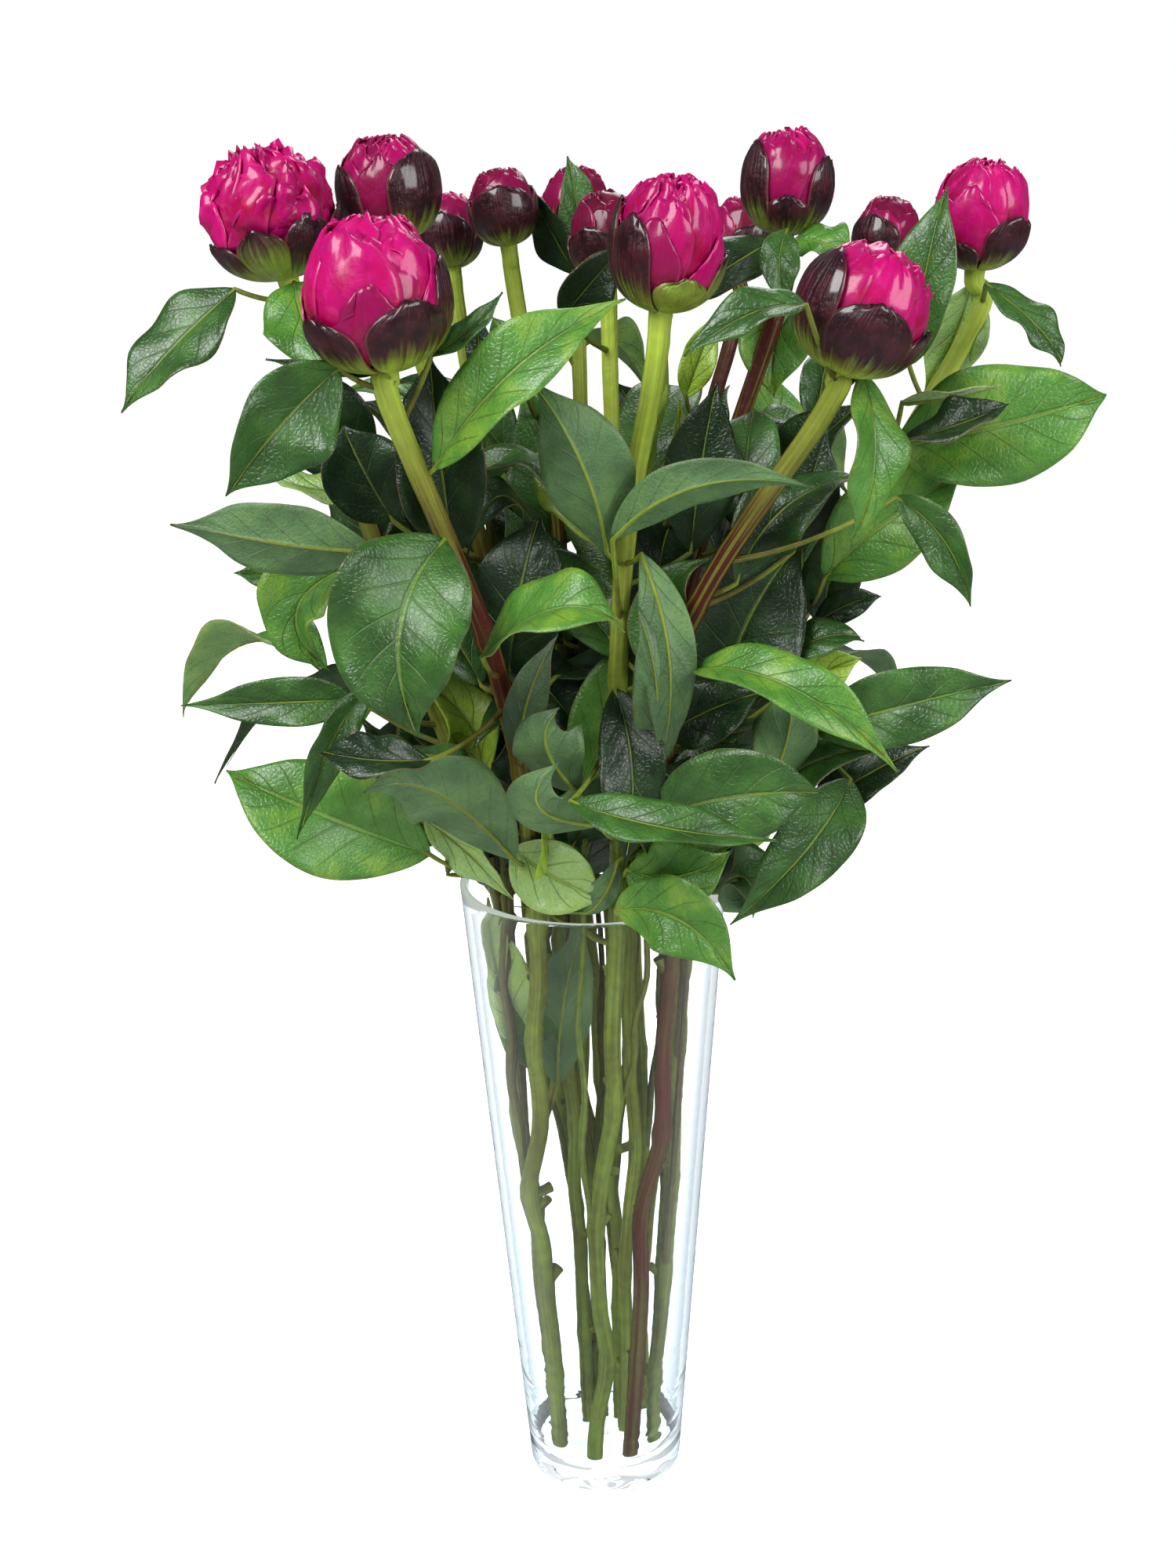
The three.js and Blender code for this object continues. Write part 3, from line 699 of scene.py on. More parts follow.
@dataclass(frozen=True)
class SepalFinish(Finish):
    """A leathery sepal: green at its foot, near-black maroon above, glossy, with a pale rim."""

    roughness: float = 0.34
    shine: float = 0.3
    coat: float = 0.7
    coat_roughness: float = 0.14
    foot: str = "7d942c"
    dark: str = "1c050d"
    flush: str = "520a1e"
    rim: str = "8a5048"

    name = "sepal"

    def skin(self, graph: Graph) -> Skin:
        """Paints a sepal from its foot to its tip."""
        across, along, tone = graph.parts("place")
        _, chance, _ = graph.parts("grain")
        lines = strands(graph, (across, along, chance), 9.0, 1.2)
        blotch = graph.place(Effects.mottle(), Size=0.006, Low=0.3, High=0.7)
        reach = graph.math("ADD", along, graph.times(graph.less(lines, 0.5), 0.18))
        pale = graph.less(1.0, tone)
        dark = graph.step(reach, graph.math("ADD", pale, 0.1), graph.line(pale, 1.6, 0.4))
        colour = graph.blend(graph.times(blotch, 0.35), self.foot, self.flush)
        shade = graph.blend(graph.times(blotch, 0.4), self.dark, self.flush)
        colour = graph.blend(dark, colour, shade)
        edge = graph.place(Effects.margin(), Across=across, Start=0.93)
        colour = graph.blend(graph.times(edge, 0.4), colour, self.rim)
        return colour, graph.line(blotch, 0.18, self.roughness), graph.math("ADD", lines, blotch)


@dataclass(frozen=True)
class StemFinish(Finish):
    """A peony stem: yellow-green near the bud, olive lower down, flushed red-brown in streaks."""

    roughness: float = 0.36
    shine: float = 0.25
    relief: float = 0.0002
    glow: float = 0.1
    glow_depth: float = 0.002
    fresh: str = "b2ca48"
    olive: str = "5a7429"
    red: str = "47150f"
    brown: str = "2c2c10"

    name = "stem"

    def skin(self, graph: Graph) -> Skin:
        """Paints a stem by its age and its redness."""
        redness, age, chance = graph.parts("skin")
        around, along, _ = graph.parts("wrap")
        lines = strands(graph, (around, along, chance), 9.0, 14.0)
        blotch = graph.place(Effects.mottle(), Size=0.004, Low=0.3, High=0.7)
        colour = graph.blend(age, self.fresh, self.olive)
        colour = graph.blend(graph.times(lines, graph.line(age, 0.3, 0.24)), colour, self.brown)
        flush = graph.math("MULTIPLY", redness, graph.line(lines, 0.35, 0.6), clamp=True)
        colour = graph.blend(flush, colour, self.red)
        colour = graph.blend(graph.times(blotch, graph.line(age, 0.4, 0.04)), colour, self.brown)
        return colour, graph.line(blotch, 0.2, self.roughness), graph.math("ADD", lines, blotch)


@dataclass(frozen=True)
class GlassFinish:
    """Clear blown glass with a faint blue cast, darker bluish edges that are partly painted shade, and
    soft streaks near the base.

    Attributes:
        passes: How many surfaces a ray may pass before the glass lets it straight through.
    """

    clear: str = "ffffff"
    tint: str = "eef6fb"
    edge: str = "9dbccd"
    lip: str = "d5ead0"
    mirror: str = "787878"
    index: float = 1.47
    relief: float = 0.0012
    passes: float = 5.5

    @cache
    def material(self) -> bpy.types.Material:
        """Builds the material."""
        material, graph, shader = new_material("glass")
        spot = graph.add("ShaderNodeTexCoord").outputs["Object"]
        flat = graph.out("ShaderNodeMapping", {"Vector": spot, "Scale": (1.0, 1.0, 4.0)})
        wave = graph.out("ShaderNodeTexNoise", {"Vector": flat, "Scale": 28.0, "Detail": 1.0})
        height = graph.add("ShaderNodeSeparateXYZ", {0: spot}).outputs[2]
        low = graph.line(graph.step(height, 0.09, 0.0), 0.8, 0.06)
        tone = graph.blend(graph.step(height, 0.3, 0.0), self.clear, self.tint)
        # Darker and bluer where the wall turns from the camera: partly the glass's own tint through
        # more glass, partly painted shade.
        facing = graph.add("ShaderNodeLayerWeight", {"Blend": 0.5}).outputs["Facing"]
        tone = graph.blend(graph.step(facing, 0.4, 1.0), tone, self.edge)
        feeds = {
            "Transmission Weight": 1.0,
            "IOR": self.index,
            "Specular Tint": paint(self.mirror),
            "Roughness": graph.times(wave, 0.03),
            "Base Color": graph.blend(graph.step(height, 0.2965, 0.299), tone, self.lip),
            "Normal": bump(graph, graph.times(wave, low), self.relief),
        }
        graph.feed(shader, feeds)
        path = graph.add("ShaderNodeLightPath").outputs
        lit = graph.math("MAXIMUM", path["Is Shadow Ray"], path["Is Diffuse Ray"])
        lit = graph.math("MAXIMUM", lit, graph.math("GREATER_THAN", path["Ray Depth"], self.passes))
        clear = graph.out("ShaderNodeBsdfTransparent")
        mixed = graph.out("ShaderNodeMixShader", {0: lit, 1: shader.outputs[0], 2: clear})
        graph.link(mixed, graph.tree.nodes["Material Output"].inputs["Surface"])
        return material


@dataclass(frozen=True)
class FloorFinish:
    """A plain pale table top, kept dim in what it adds to reflections."""

    pale: str = "fbfbfb"
    shade: str = "f6f7f7"
    dim: str = "6e6e6e"
    roughness: float = 0.8
    glow: float = 0.8

    @cache
    def material(self) -> bpy.types.Material:
        """Builds the material."""
        material, graph, shader = new_material("floor")
        cloud = graph.place(Effects.mottle(), Size=0.4, Low=0.2, High=0.8)
        tone = graph.blend(cloud, self.pale, self.shade)
        glossy = graph.add("ShaderNodeLightPath").outputs["Is Glossy Ray"]
        mirrored = graph.times(glossy, graph.less(1.0, graph.watched()))
        feeds = {
            "Base Color": graph.blend(mirrored, tone, self.dim),
            "Roughness": self.roughness,
            "Emission Color": WHITE,
            "Emission Strength": graph.times(graph.watched(), self.glow),
        }
        graph.feed(shader, feeds)
        return material


# ---- Pieces from node trees ---------------------------------------------------------------


def geometry_group(name: str, inputs: dict[str, tuple[str, object]]) -> tuple[Graph, dict, Socket]:
    """Starts a geometry node tree with a geometry input, named inputs and a geometry output.

    Args:
        name: The tree's name.
        inputs: For each input its kind, such as "Float", and its usual value.

    Returns:
        A graph on the tree, its input sockets by name, and the socket of its output.
    """
    tree = bpy.data.node_groups.new(name, "GeometryNodeTree")
    tree.interface.new_socket("Geometry", in_out="INPUT", socket_type="NodeSocketGeometry")
    tree.interface.new_socket("Geometry", in_out="OUTPUT", socket_type="NodeSocketGeometry")
    for key, (kind, value) in inputs.items():
        socket = tree.interface.new_socket(key, in_out="INPUT", socket_type="NodeSocket" + kind)
        if value is not None:
            socket.default_value = value
    graph = Graph(tree)
    entry, result = graph.add("NodeGroupInput"), graph.add("NodeGroupOutput")
    return graph, {socket.name: socket for socket in entry.outputs if socket.name}, result.inputs[0]


class Trees:
    """The geometry node trees that grow the pieces, each built once."""

    @staticmethod
    @cache
    def blade() -> bpy.types.NodeTree:
        """Builds the tree that gives thin sheets their ripples, thickness and underside.

        Returns:
            The tree. The sheets' attribute "give" says how far a point may move, in metres.
        """
        inputs = {
            "Thickness": ("Float", 0.0004),
            "Ripple Size": ("Float", 0.01),
            "Seed": ("Float", 0.0),
            "Material": ("Material", None),
        }
        graph, given, result = geometry_group("Blade", inputs)
        thickness = given["Thickness"]
        wave = graph.waves(given["Ripple Size"], given["Seed"], 1.5)
        ripple = graph.times(wave, graph.named("give"))
        sheet = graph.push(given["Geometry"], graph.line(thickness, -0.5, ripple))
        feeds = {"Mesh": sheet, "Offset Scale": thickness, "Individual": False}
        raised = graph.add("GeometryNodeExtrudeMesh", feeds, mode="FACES")
        top = graph.store(raised.outputs[0], "rim", raised.outputs["Side"], "BOOLEAN", "FACE")
        back = graph.out("GeometryNodeFlipFaces", {0: sheet})
        below = graph.store(back, "under", 1.0, "FLOAT", "FACE")
        whole = graph.add("GeometryNodeJoinGeometry")
        graph.link(top, whole.inputs[0])
        graph.link(below, whole.inputs[0])
        merged = graph.add("GeometryNodeMergeByDistance", {0: whole.outputs[0], "Distance": 1e-6})
        soft = graph.add("GeometryNodeSetShadeSmooth", {0: merged.outputs[0], "Shade Smooth": True})
        rim = graph.named("rim", "BOOLEAN")
        feeds = {0: soft.outputs[0], "Selection": rim, "Shade Smooth": False}
        crisp = graph.add("GeometryNodeSetShadeSmooth", feeds)
        graph.close(crisp.outputs[0], given["Material"], result)
        return graph.tree

    @staticmethod
    @cache
    def cane() -> bpy.types.NodeTree:
        """Builds the tree that sweeps round canes along lines of edges.

        Returns:
            The tree. The lines' attribute "girth" is the radius at each point, in metres.
        """
        inputs = {
            "Sides": ("Int", 12),
            "Roughness": ("Float", 0.04),
            "Lump Size": ("Float", 0.006),
            "Seed": ("Float", 0.0),
            "Material": ("Material", None),
        }
        graph, given, result = geometry_group("Cane", inputs)
        line = graph.out("GeometryNodeMeshToCurve", {0: given["Geometry"]})
        length = graph.add("GeometryNodeSplineParameter").outputs["Length"]
        feeds = {"Resolution": given["Sides"], "Radius": 1.0}
        circle = graph.out("GeometryNodeCurvePrimitiveCircle", feeds)
        turn = graph.add("GeometryNodeSplineParameter").outputs["Factor"]
        mirrored = graph.math("PINGPONG", graph.times(turn, 2.0), 1.0)
        feeds = {
            "Curve": graph.store(line, "length", length),
            "Profile Curve": graph.store(circle, "turn", mirrored),
            "Scale": graph.named("girth"),
            "Fill Caps": True,
        }
        tube = graph.out("GeometryNodeCurveToMesh", feeds)
        wrap = graph.add("ShaderNodeCombineXYZ", {0: graph.named("turn"), 1: graph.named("length")})
        kept = graph.store(tube, "wrap", wrap.outputs[0], "FLOAT_VECTOR")
        wave = graph.waves(given["Lump Size"], given["Seed"], 2.0)
        lump = graph.times(graph.times(wave, given["Roughness"]), graph.named("girth"))
        lumpy = graph.push(kept, lump)
        soft = graph.out("GeometryNodeSetShadeSmooth", {0: lumpy, "Shade Smooth": True})
        graph.close(soft, given["Material"], result)
        return graph.tree


def grow(
    name: str, mesh: bpy.types.Mesh, tree: bpy.types.NodeTree, values: dict
) -> bpy.types.Object:
    """Runs a geometry tree on a mesh and keeps the result as a plain piece.

    Args:
        name: The piece's name.
        mesh: What the tree starts from.
        tree: The geometry node tree.
        values: Its inputs by name.

    Returns:
        The piece, at the origin, with no modifier left.
    """
    source = bpy.data.objects.new(name + "_source", mesh)
    bpy.context.scene.collection.objects.link(source)
    modifier = source.modifiers.new("Growth", "NODES")
    modifier.node_group = tree
    for item in tree.interface.items_tree:
        if item.in_out == "INPUT" and item.name in values:
            modifier[item.identifier] = values[item.name]
    depsgraph = bpy.context.evaluated_depsgraph_get()
    made = bpy.data.meshes.new_from_object(source.evaluated_get(depsgraph), depsgraph=depsgraph)
    made.name = name
    source.modifiers.remove(modifier)
    bpy.data.objects.remove(source)
    bpy.data.meshes.remove(mesh)
    piece = bpy.data.objects.new(name, made)
    bpy.context.scene.collection.objects.link(piece)
    return piece


def attach(piece: bpy.types.Object, slot: Slot, *nodes: str) -> None:
    """Makes a piece part of the model.

    Args:
        piece: The piece.
        slot: The material slot that its finish belongs to; not used.
        *nodes: The solids that it stands for.
    """
    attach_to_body(piece, BODY)
    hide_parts(*nodes)
    log.info("%s: %d faces", piece.name, len(piece.data.polygons))


def write_attribute(mesh: bpy.types.Mesh, name: str, kind: str, values: Array) -> None:
    """Stores numbers on a mesh's points.

    Args:
        mesh: The mesh.
        name: The attribute's name.
        kind: "FLOAT" or "FLOAT_VECTOR".
        values: One number or vector for each point.
    """
    store = mesh.attributes.new(name, kind, "POINT")
    key = "vector" if kind == "FLOAT_VECTOR" else "value"
    store.data.foreach_set(key, np.ascontiguousarray(values, dtype=np.float32).ravel())


@dataclass
class Sheet:
    """A thin blade as a grid of points, rows from its foot to its tip.

    Attributes:
        points: The grid, rows by columns by 3.
        across: For each point, -1 at the left edge to 1 at the right.
        along: For each point, 0 at the foot to 1 at the tip.
        give: How far each point may ripple, in metres.
        tone: What the finish reads as tone.
        pairs: How many pairs of side veins it has.
        chance: A number of its own, from 0 to 1.
    """

    points: Array
    across: Array
    along: Array
    give: Array
    tone: float
    pairs: float
    chance: float


def grow_sheets(
    name: str,
    sheets: Sequence[Sheet],
    thickness: float,
    ripple: float,
    material: bpy.types.Material,
) -> bpy.types.Object:
    """Makes one piece of many blades.

    Args:
        name: The piece's name.
        sheets: The blades.
        thickness: How thick they are, in metres.
        ripple: How long their ripples are, in metres.
        material: Their finish.

    Returns:
        The piece.
    """
    points, faces, place, grain, give = [], [], [], [], []
    for sheet in sheets:
        rows, columns = sheet.across.shape
        start = sum(len(block) for block in points)
        index = start + np.arange(rows * columns).reshape(rows, columns)
        corners = (index[:-1, :-1], index[:-1, 1:], index[1:, 1:], index[1:, :-1])
        faces.extend(np.stack([corner.ravel() for corner in corners], axis=1).tolist())
        points.append(sheet.points.reshape(-1, 3))
        tone = np.full(rows * columns, sheet.tone)
        place.append(np.stack([sheet.across.ravel(), sheet.along.ravel(), tone], axis=1))
        grain.append(np.tile([sheet.pairs, sheet.chance, 0.0], (rows * columns, 1)))
        give.append(sheet.give.ravel())
    mesh = bpy.data.meshes.new(name + "_sheets")
    mesh.from_pydata(np.concatenate(points).tolist(), [], faces)
    write_attribute(mesh, "place", "FLOAT_VECTOR", np.concatenate(place))
    write_attribute(mesh, "grain", "FLOAT_VECTOR", np.concatenate(grain))
    write_attribute(mesh, "give", "FLOAT", np.concatenate(give))
    values = {"Thickness": thickness, "Ripple Size": ripple, "Seed": BLADE_SEED}
    return grow(name, mesh, Trees.blade(), {**values, "Material": material})


@dataclass
class Line:
    """A round cane's centre line.

    Attributes:
        points: Its points, one per row.
        girth: The radius at each point, in metres.
        redness: How red the skin is at each point.
        age: How olive it is at each point.
        chance: A number of its own, from 0 to 1.
    """

    points: Array
    girth: Array
    redness: Array
    age: Array
    chance: float


def grow_canes(
    name: str, lines: Sequence[Line], sides: int, material: bpy.types.Material
) -> bpy.types.Object:
    """Makes one piece of many canes.

    Args:
        name: The piece's name.
        lines: The canes' centre lines.
        sides: How many sides each has.
        material: Their finish.

    Returns:
        The piece.
    """
    edges, start = [], 0
    for line in lines:
        edges.extend((start + step, start + step + 1) for step in range(len(line.points) - 1))
        start += len(line.points)
    mesh = bpy.data.meshes.new(name + "_lines")
    mesh.from_pydata(np.concatenate([line.points for line in lines]).tolist(), edges, [])
    chances = [np.full(len(line.points), line.chance) for line in lines]
    skin = [
        np.stack([line.redness, line.age, chance], axis=1) for line, chance in zip(lines, chances)
    ]
    write_attribute(mesh, "skin", "FLOAT_VECTOR", np.concatenate(skin))
    write_attribute(mesh, "girth", "FLOAT", np.concatenate([line.girth for line in lines]))
    return grow(name, mesh, Trees.cane(), {"Sides": sides, "Seed": CANE_SEED, "Material": material})


# ---- The vase -----------------------------------------------------------------------------


@dataclass
class Vase:
    """A plain conical vase of clear glass, thick in the base and open at the top."""

    height: float = 0.300
    rim_radius: float = 0.059
    base_radius: float = 0.0364
    wall: float = 0.0033
    floor: float = 0.012
    foot_edge: float = 0.0015
    fillet: float = 0.009
    hollow: float = 0.0008
    dome: float = 0.0012
    streak: float = 0.00018
    streak_pitch: float = 900.0
    streak_fade: float = 0.03
    segments: int = 144
    ease: float = 0.003
    finish: GlassFinish = field(default_factory=GlassFinish)

    def radius_at(self, share: float) -> float:
        """Gives the outer radius at a share of the height."""
        return self.base_radius + (self.rim_radius - self.base_radius) * share

    def clear(self, points: Array, kept: bool, margin: float = 0.0016) -> Array:
        """Moves points of a leaf or a stalk out of the glass.

        Args:
            points: The points.
            kept: Whether the leaf stays inside the vase; any other goes over the rim.
            margin: How far from the glass its middle stays, in metres.

        Returns:
            The points, eased inwards from the wall or lifted over the rim.
        """
        x, y, z = points[..., 0], points[..., 1], points[..., 2]
        radius = np.maximum(np.hypot(x, y), 1e-6)
        if kept:
            slope = (self.rim_radius - self.base_radius) * z / self.height
            limit = self.base_radius + slope - self.wall - margin
            over = np.maximum(radius - limit + self.ease, 0.0)
            eased = limit - self.ease * np.exp(-over / self.ease)
            pull = np.where(over > 0, eased, radius) / radius
            return np.stack([x * pull, y * pull, z], axis=-1)
        near = smooth(radius, self.rim_radius - 0.019, self.rim_radius - 0.0065)
        near *= 1 - smooth(radius, self.rim_radius + 0.007, self.rim_radius + 0.031)
        lift = near * np.maximum(self.height + 2 * margin - z, 0.0) * smooth(z, 0.25, 0.27)
        return np.stack([x, y, z + lift], axis=-1)

    def holds(self, spine: Curve) -> bool:
        """Says whether a leaf with this midrib lies inside the vase."""
        return all(z < self.height and math.hypot(x, y) < self.rim_radius for x, y, z in spine)

    def profile(self) -> list[tuple[float, float]]:
        """Draws half of the section, from the axis below round to the axis inside.

        Returns:
            Radius and height of each point.
        """
        outline = [(0.0, self.hollow), (self.base_radius * 0.6, self.hollow)]
        outline.append((self.base_radius * 0.8, 0.0))
        for step in range(7):
            angle = math.radians(-90 + 15 * step)
            reach = self.foot_edge * (1 + math.sin(angle))
            outline.append((self.base_radius - self.foot_edge * (1 - math.cos(angle)), reach))
        rise = np.linspace(0.0, 1.0, 40)[1:-1]
        tall = self.height - self.foot_edge
        for share in rise:
            outline.append((self.radius_at(share), self.foot_edge + tall * share))
        lip = self.wall / 2
        for step in range(9):
            angle = math.radians(22.5 * step)
            radius = self.rim_radius - lip + lip * math.cos(angle)
            outline.append((radius, self.height - lip + lip * math.sin(angle)))
        for share in rise[::-1]:
            radius = self.radius_at(share) - self.wall
            height = self.foot_edge + tall * share
            if height > self.floor + self.fillet:
                fade = math.exp(-(height - self.floor) / self.streak_fade)
                wave = self.streak * math.sin(height * self.streak_pitch) * fade
                outline.append((radius + wave, height))
        corner = outline[-1][0] - self.fillet
        for step in range(1, 9):
            angle = math.radians(90 * step / 8)
            height = self.floor + self.fillet * (1 - math.sin(angle))
            outline.append((corner + self.fillet * math.cos(angle), height))
        for share in np.linspace(1.0, 0.0, 14)[1:]:
            swell = self.dome * (1 - share) * math.cos(share * 9)
            outline.append((corner * share, self.floor + swell))
        return outline

    def build(self) -> None:
        """Turns the section round the axis and dresses it as glass."""
        outline = self.profile()
        angles = np.linspace(0, 2 * math.pi, self.segments, endpoint=False)
        points = [(0.0, 0.0, outline[0][1])]
        for radius, height in outline[1:-1]:
            points.extend((radius * math.cos(a), radius * math.sin(a), height) for a in angles)
        points.append((0.0, 0.0, outline[-1][1]))
        faces, count, rings = [], self.segments, len(outline) - 2
        for side in range(count):
            after = (side + 1) % count
            faces.append((0, 1 + after, 1 + side))
            for ring in range(rings - 1):
                low, high = 1 + ring * count, 1 + (ring + 1) * count
                faces.append((low + side, low + after, high + after, high + side))
            last = 1 + (rings - 1) * count
            faces.append((last + side, last + after, len(points) - 1))
        mesh = bpy.data.meshes.new("vase")
        mesh.from_pydata(points, [], faces)
        mesh.shade_smooth()
        mesh.materials.append(self.finish.material())
        piece = bpy.data.objects.new("glass_vase", mesh)
        bpy.context.scene.collection.objects.link(piece)
        attach(piece, Slot.GLASS, "vase")


VASE = Vase()


# ---- The peonies --------------------------------------------------------------------------


@dataclass(frozen=True)
class Leaf:
    """One leaf: three points of its midrib, its width, and the way that it is worn.

    Attributes:
        foot: Where the blade starts.
        middle: Half way along the midrib.
        tip: The blade's tip.
        width: The blade's greatest width, in metres.
        facing: Which way the upper side looks.
        drop: How far below the blade its stalk leaves the stem, as a share of its reach.
        tone: Its green.
    """

    foot: Point
    middle: Point
    tip: Point
    width: float
    facing: Facing
    drop: float
    tone: Tone


@dataclass(frozen=True)
class Spray:
    """A compound leaf of three leaflets at the back or the sides.

    Attributes:
        height: The height of the blades' foot.
        heading: Its direction from above, in degrees.
        reach: The length of its stalk.
        length: The middle leaflet's length.
        width: The middle leaflet's width.
    """

    height: float
    heading: float
    reach: float
    length: float
    width: float

    spread = 62.0
    drop = 0.5
    fork = 0.72
    tilt = 2.2
    side_share = 0.82
    rise = 0.25
    droop = 0.35

    def way(self, turn: float, rise: float) -> Array:
        """Gives the direction that is turned from the heading and rises by rise."""
        angle = math.radians(self.heading + turn)
        return np.array([math.cos(angle), math.sin(angle), rise])


@dataclass(frozen=True)
class Shoot:
    """A leaf in place.

    Attributes:
        stalk: First point, handle and last point of its stalk's curve.
        spine: The same of its midrib's curve.
        width: The blade's greatest width.
        facing: The way that its upper side looks.
        tone: Its green, from 0, deep, to 1, pale.
    """

    stalk: Curve
    spine: Curve
    width: float
    facing: Array
    tone: float

    def spots(self) -> Array:
        """Gives points spread over the blade."""
        centre, tangent = bezier(*self.spine, np.linspace(0.12, 1.0, 7))
        side = np.cross(tangent, square_to(self.facing, tangent))
        reach = np.array([0.5, 0.8, 1.0, 0.9, 0.7, 0.4, 0.0])[:, None] * self.width * 0.34
        return np.concatenate([centre - side * reach, centre, centre + side * reach])


@dataclass
class Thicket:
    """Remembers the places that leaves take, so that the inner leaves keep clear of them."""

    gap: float = 0.0052
    inside: tuple[Point, Point] = ((-0.12, -0.07, 0.306), (0.12, 0.125, 0.52))
    taken: list[Array] = field(default_factory=list)

    def take(self, spots: Array) -> None:
        """Marks places as taken."""
        self.taken.append(spots)

    def has_room(self, spots: Array) -> bool:
        """Tells whether places lie inside the thicket and keep the gap to all that are taken."""
        low, high = self.inside
        if (spots < low).any() or (spots > high).any():
            return False
        apart = np.linalg.norm(spots[:, None] - np.concatenate(self.taken), axis=2)
        return bool(apart.min() > self.gap)


@dataclass
class Blades:
    """How leaf blades are shaped, in metres and shares."""

    rows: int = 32
    columns: int = 16
    crowd: float = 1.35
    thickness: float = 0.0004
    fold: float = 0.2
    widest: float = 0.45
    taper: float = 0.45
    twist: float = 0.45
    groove: float = 0.0005
    groove_width: float = 0.0012
    quilt: float = 0.0010
    wave: float = 0.19
    vein_gap: float = 0.0125
    stalk_girth: float = 0.0010
    ripple: float = 0.013
    finish: LeafFinish = field(default_factory=LeafFinish)

    def outline(self, along: Array) -> Array:
        """Gives the half-width's share of its greatest value along the blade."""
        rise = (along / self.widest) ** 0.9
        fall = ((1 - along) / (1 - self.widest)) ** 1.2
        return rise * fall * (1 - self.taper * smooth(along, 0.7, 1.0))

    def sheet(self, shoot: Shoot, random: np.random.Generator) -> Sheet:
        """Shapes one blade round its midrib.

        Args:
            shoot: The leaf.
            random: Where its own small differences come from.

        Returns:
            The blade.
        """
        shares = np.linspace(0.0, 1.0, self.rows + 1)
        centre, tangent = bezier(*shoot.spine, shares)
        normal = square_to(shoot.facing, tangent)
        side = np.cross(tangent, normal)
        length = float(np.sum(np.linalg.norm(np.diff(centre, axis=0), axis=1)))
        pairs = float(np.clip(round(length / self.vein_gap), 4, 10))
        steps = np.linspace(-1.0, 1.0, self.columns + 1)
        across = np.sign(steps) * np.abs(steps) ** self.crowd
        edge, along = np.meshgrid(across, shares)
        phases = random.uniform(0, 2 * math.pi, 4)
        half = (shoot.width / 2) * self.outline(shares) + 0.0007 * (1 - shares) ** 6 + 0.0001
        lobes = 1 + 0.035 * np.sin(along * 7 + phases[0] + edge) * np.abs(edge) ** 2
        reach = half[:, None] * edge * lobes
        body = np.sin(np.pi * np.clip(along, 0, 1)) ** 0.6
        fold = self.fold * random.uniform(0.4, 2.2)
        lift = fold * half[:, None] * np.abs(edge) ** 1.2
        lift += self.twist * random.uniform(-1, 1) * smooth(along, 0.2, 1.0) * reach
        lift -= self.groove * np.exp(-((reach / self.groove_width) ** 2)) * body
        lean = along * pairs - VEIN_LEAN * np.abs(edge) ** VEIN_CURVE + VEIN_STAGGER * (edge > 0)
        swell = np.abs(np.sin(np.pi * lean)) ** 0.7
        lift += self.quilt * swell * np.abs(edge) ** 0.6 * (1 - edge**4) * body
        beat = 2 * math.pi * (1.5 + random.uniform(0, 0.8))
        swing = np.sin(along * beat + np.where(edge > 0, phases[1], phases[2]))
        wave = self.wave * random.uniform(0.6, 1.5) * half[:, None]
        lift += wave * swing * np.abs(edge) ** 2.2 * body
        lift -= random.uniform(-0.1, 0.3) * half.max() * smooth(along, 0.7, 1.0) ** 2
        points = centre[:, None] + side[:, None] * reach[..., None]
        points = points + normal[:, None] * lift[..., None]
        give = 0.0006 * body * (0.3 + np.abs(edge))
        points = keep_inside(VASE.clear(points, VASE.holds(shoot.spine)))
        return Sheet(points, edge, along, give, shoot.tone, pairs, random.random())


@dataclass(frozen=True)
class Ring:
    """A ring of a bud's petals, in shares of the bud and in degrees.

    Attributes:
        turn: How far its first petal is turned from the bud's own turn.
        start: The angle of its petals' feet from the bud's top.
        ends: The least and the greatest angle of their lips.
        levels: As for a patch.
        frill: How far their lips are ruffled, as a share of the bud's frill.
        grid: Rows and columns of each petal.
        nod: How far its axis is tipped.
        count: How many petals, where it isn't the number that the bud's size gives.
        spread: Half the angle that a petal takes in, where count is given.
        flared: Whether it opens by the bud's flare.
    """

    turn: float
    start: float
    ends: tuple[float, float]
    levels: Point
    frill: float
    grid: tuple[int, int]
    nod: float = 0.0
    count: int = 0
    spread: float = 0.0
    flared: bool = False


RINGS = (
    Ring(0, 174, (32, 76), (0.92, 1.0, 0.0), 0.6, (22, 22), flared=True),
    Ring(30, 130, (20, 50), (0.8, 0.95, 0.01), 1.0, (20, 20), 7),
    Ring(10, 104, (10, 36), (0.7, 0.91, 0.015), 1.2, (18, 18), 15),
    Ring(50, 84, (5, 26), (0.6, 0.87, 0.02), 1.3, (16, 18), 24, count=4, spread=60),
    Ring(0, 84, (0, 14), (0.6, 0.84, 0.02), 1.3, (14, 16), 20, count=4, spread=70),
)


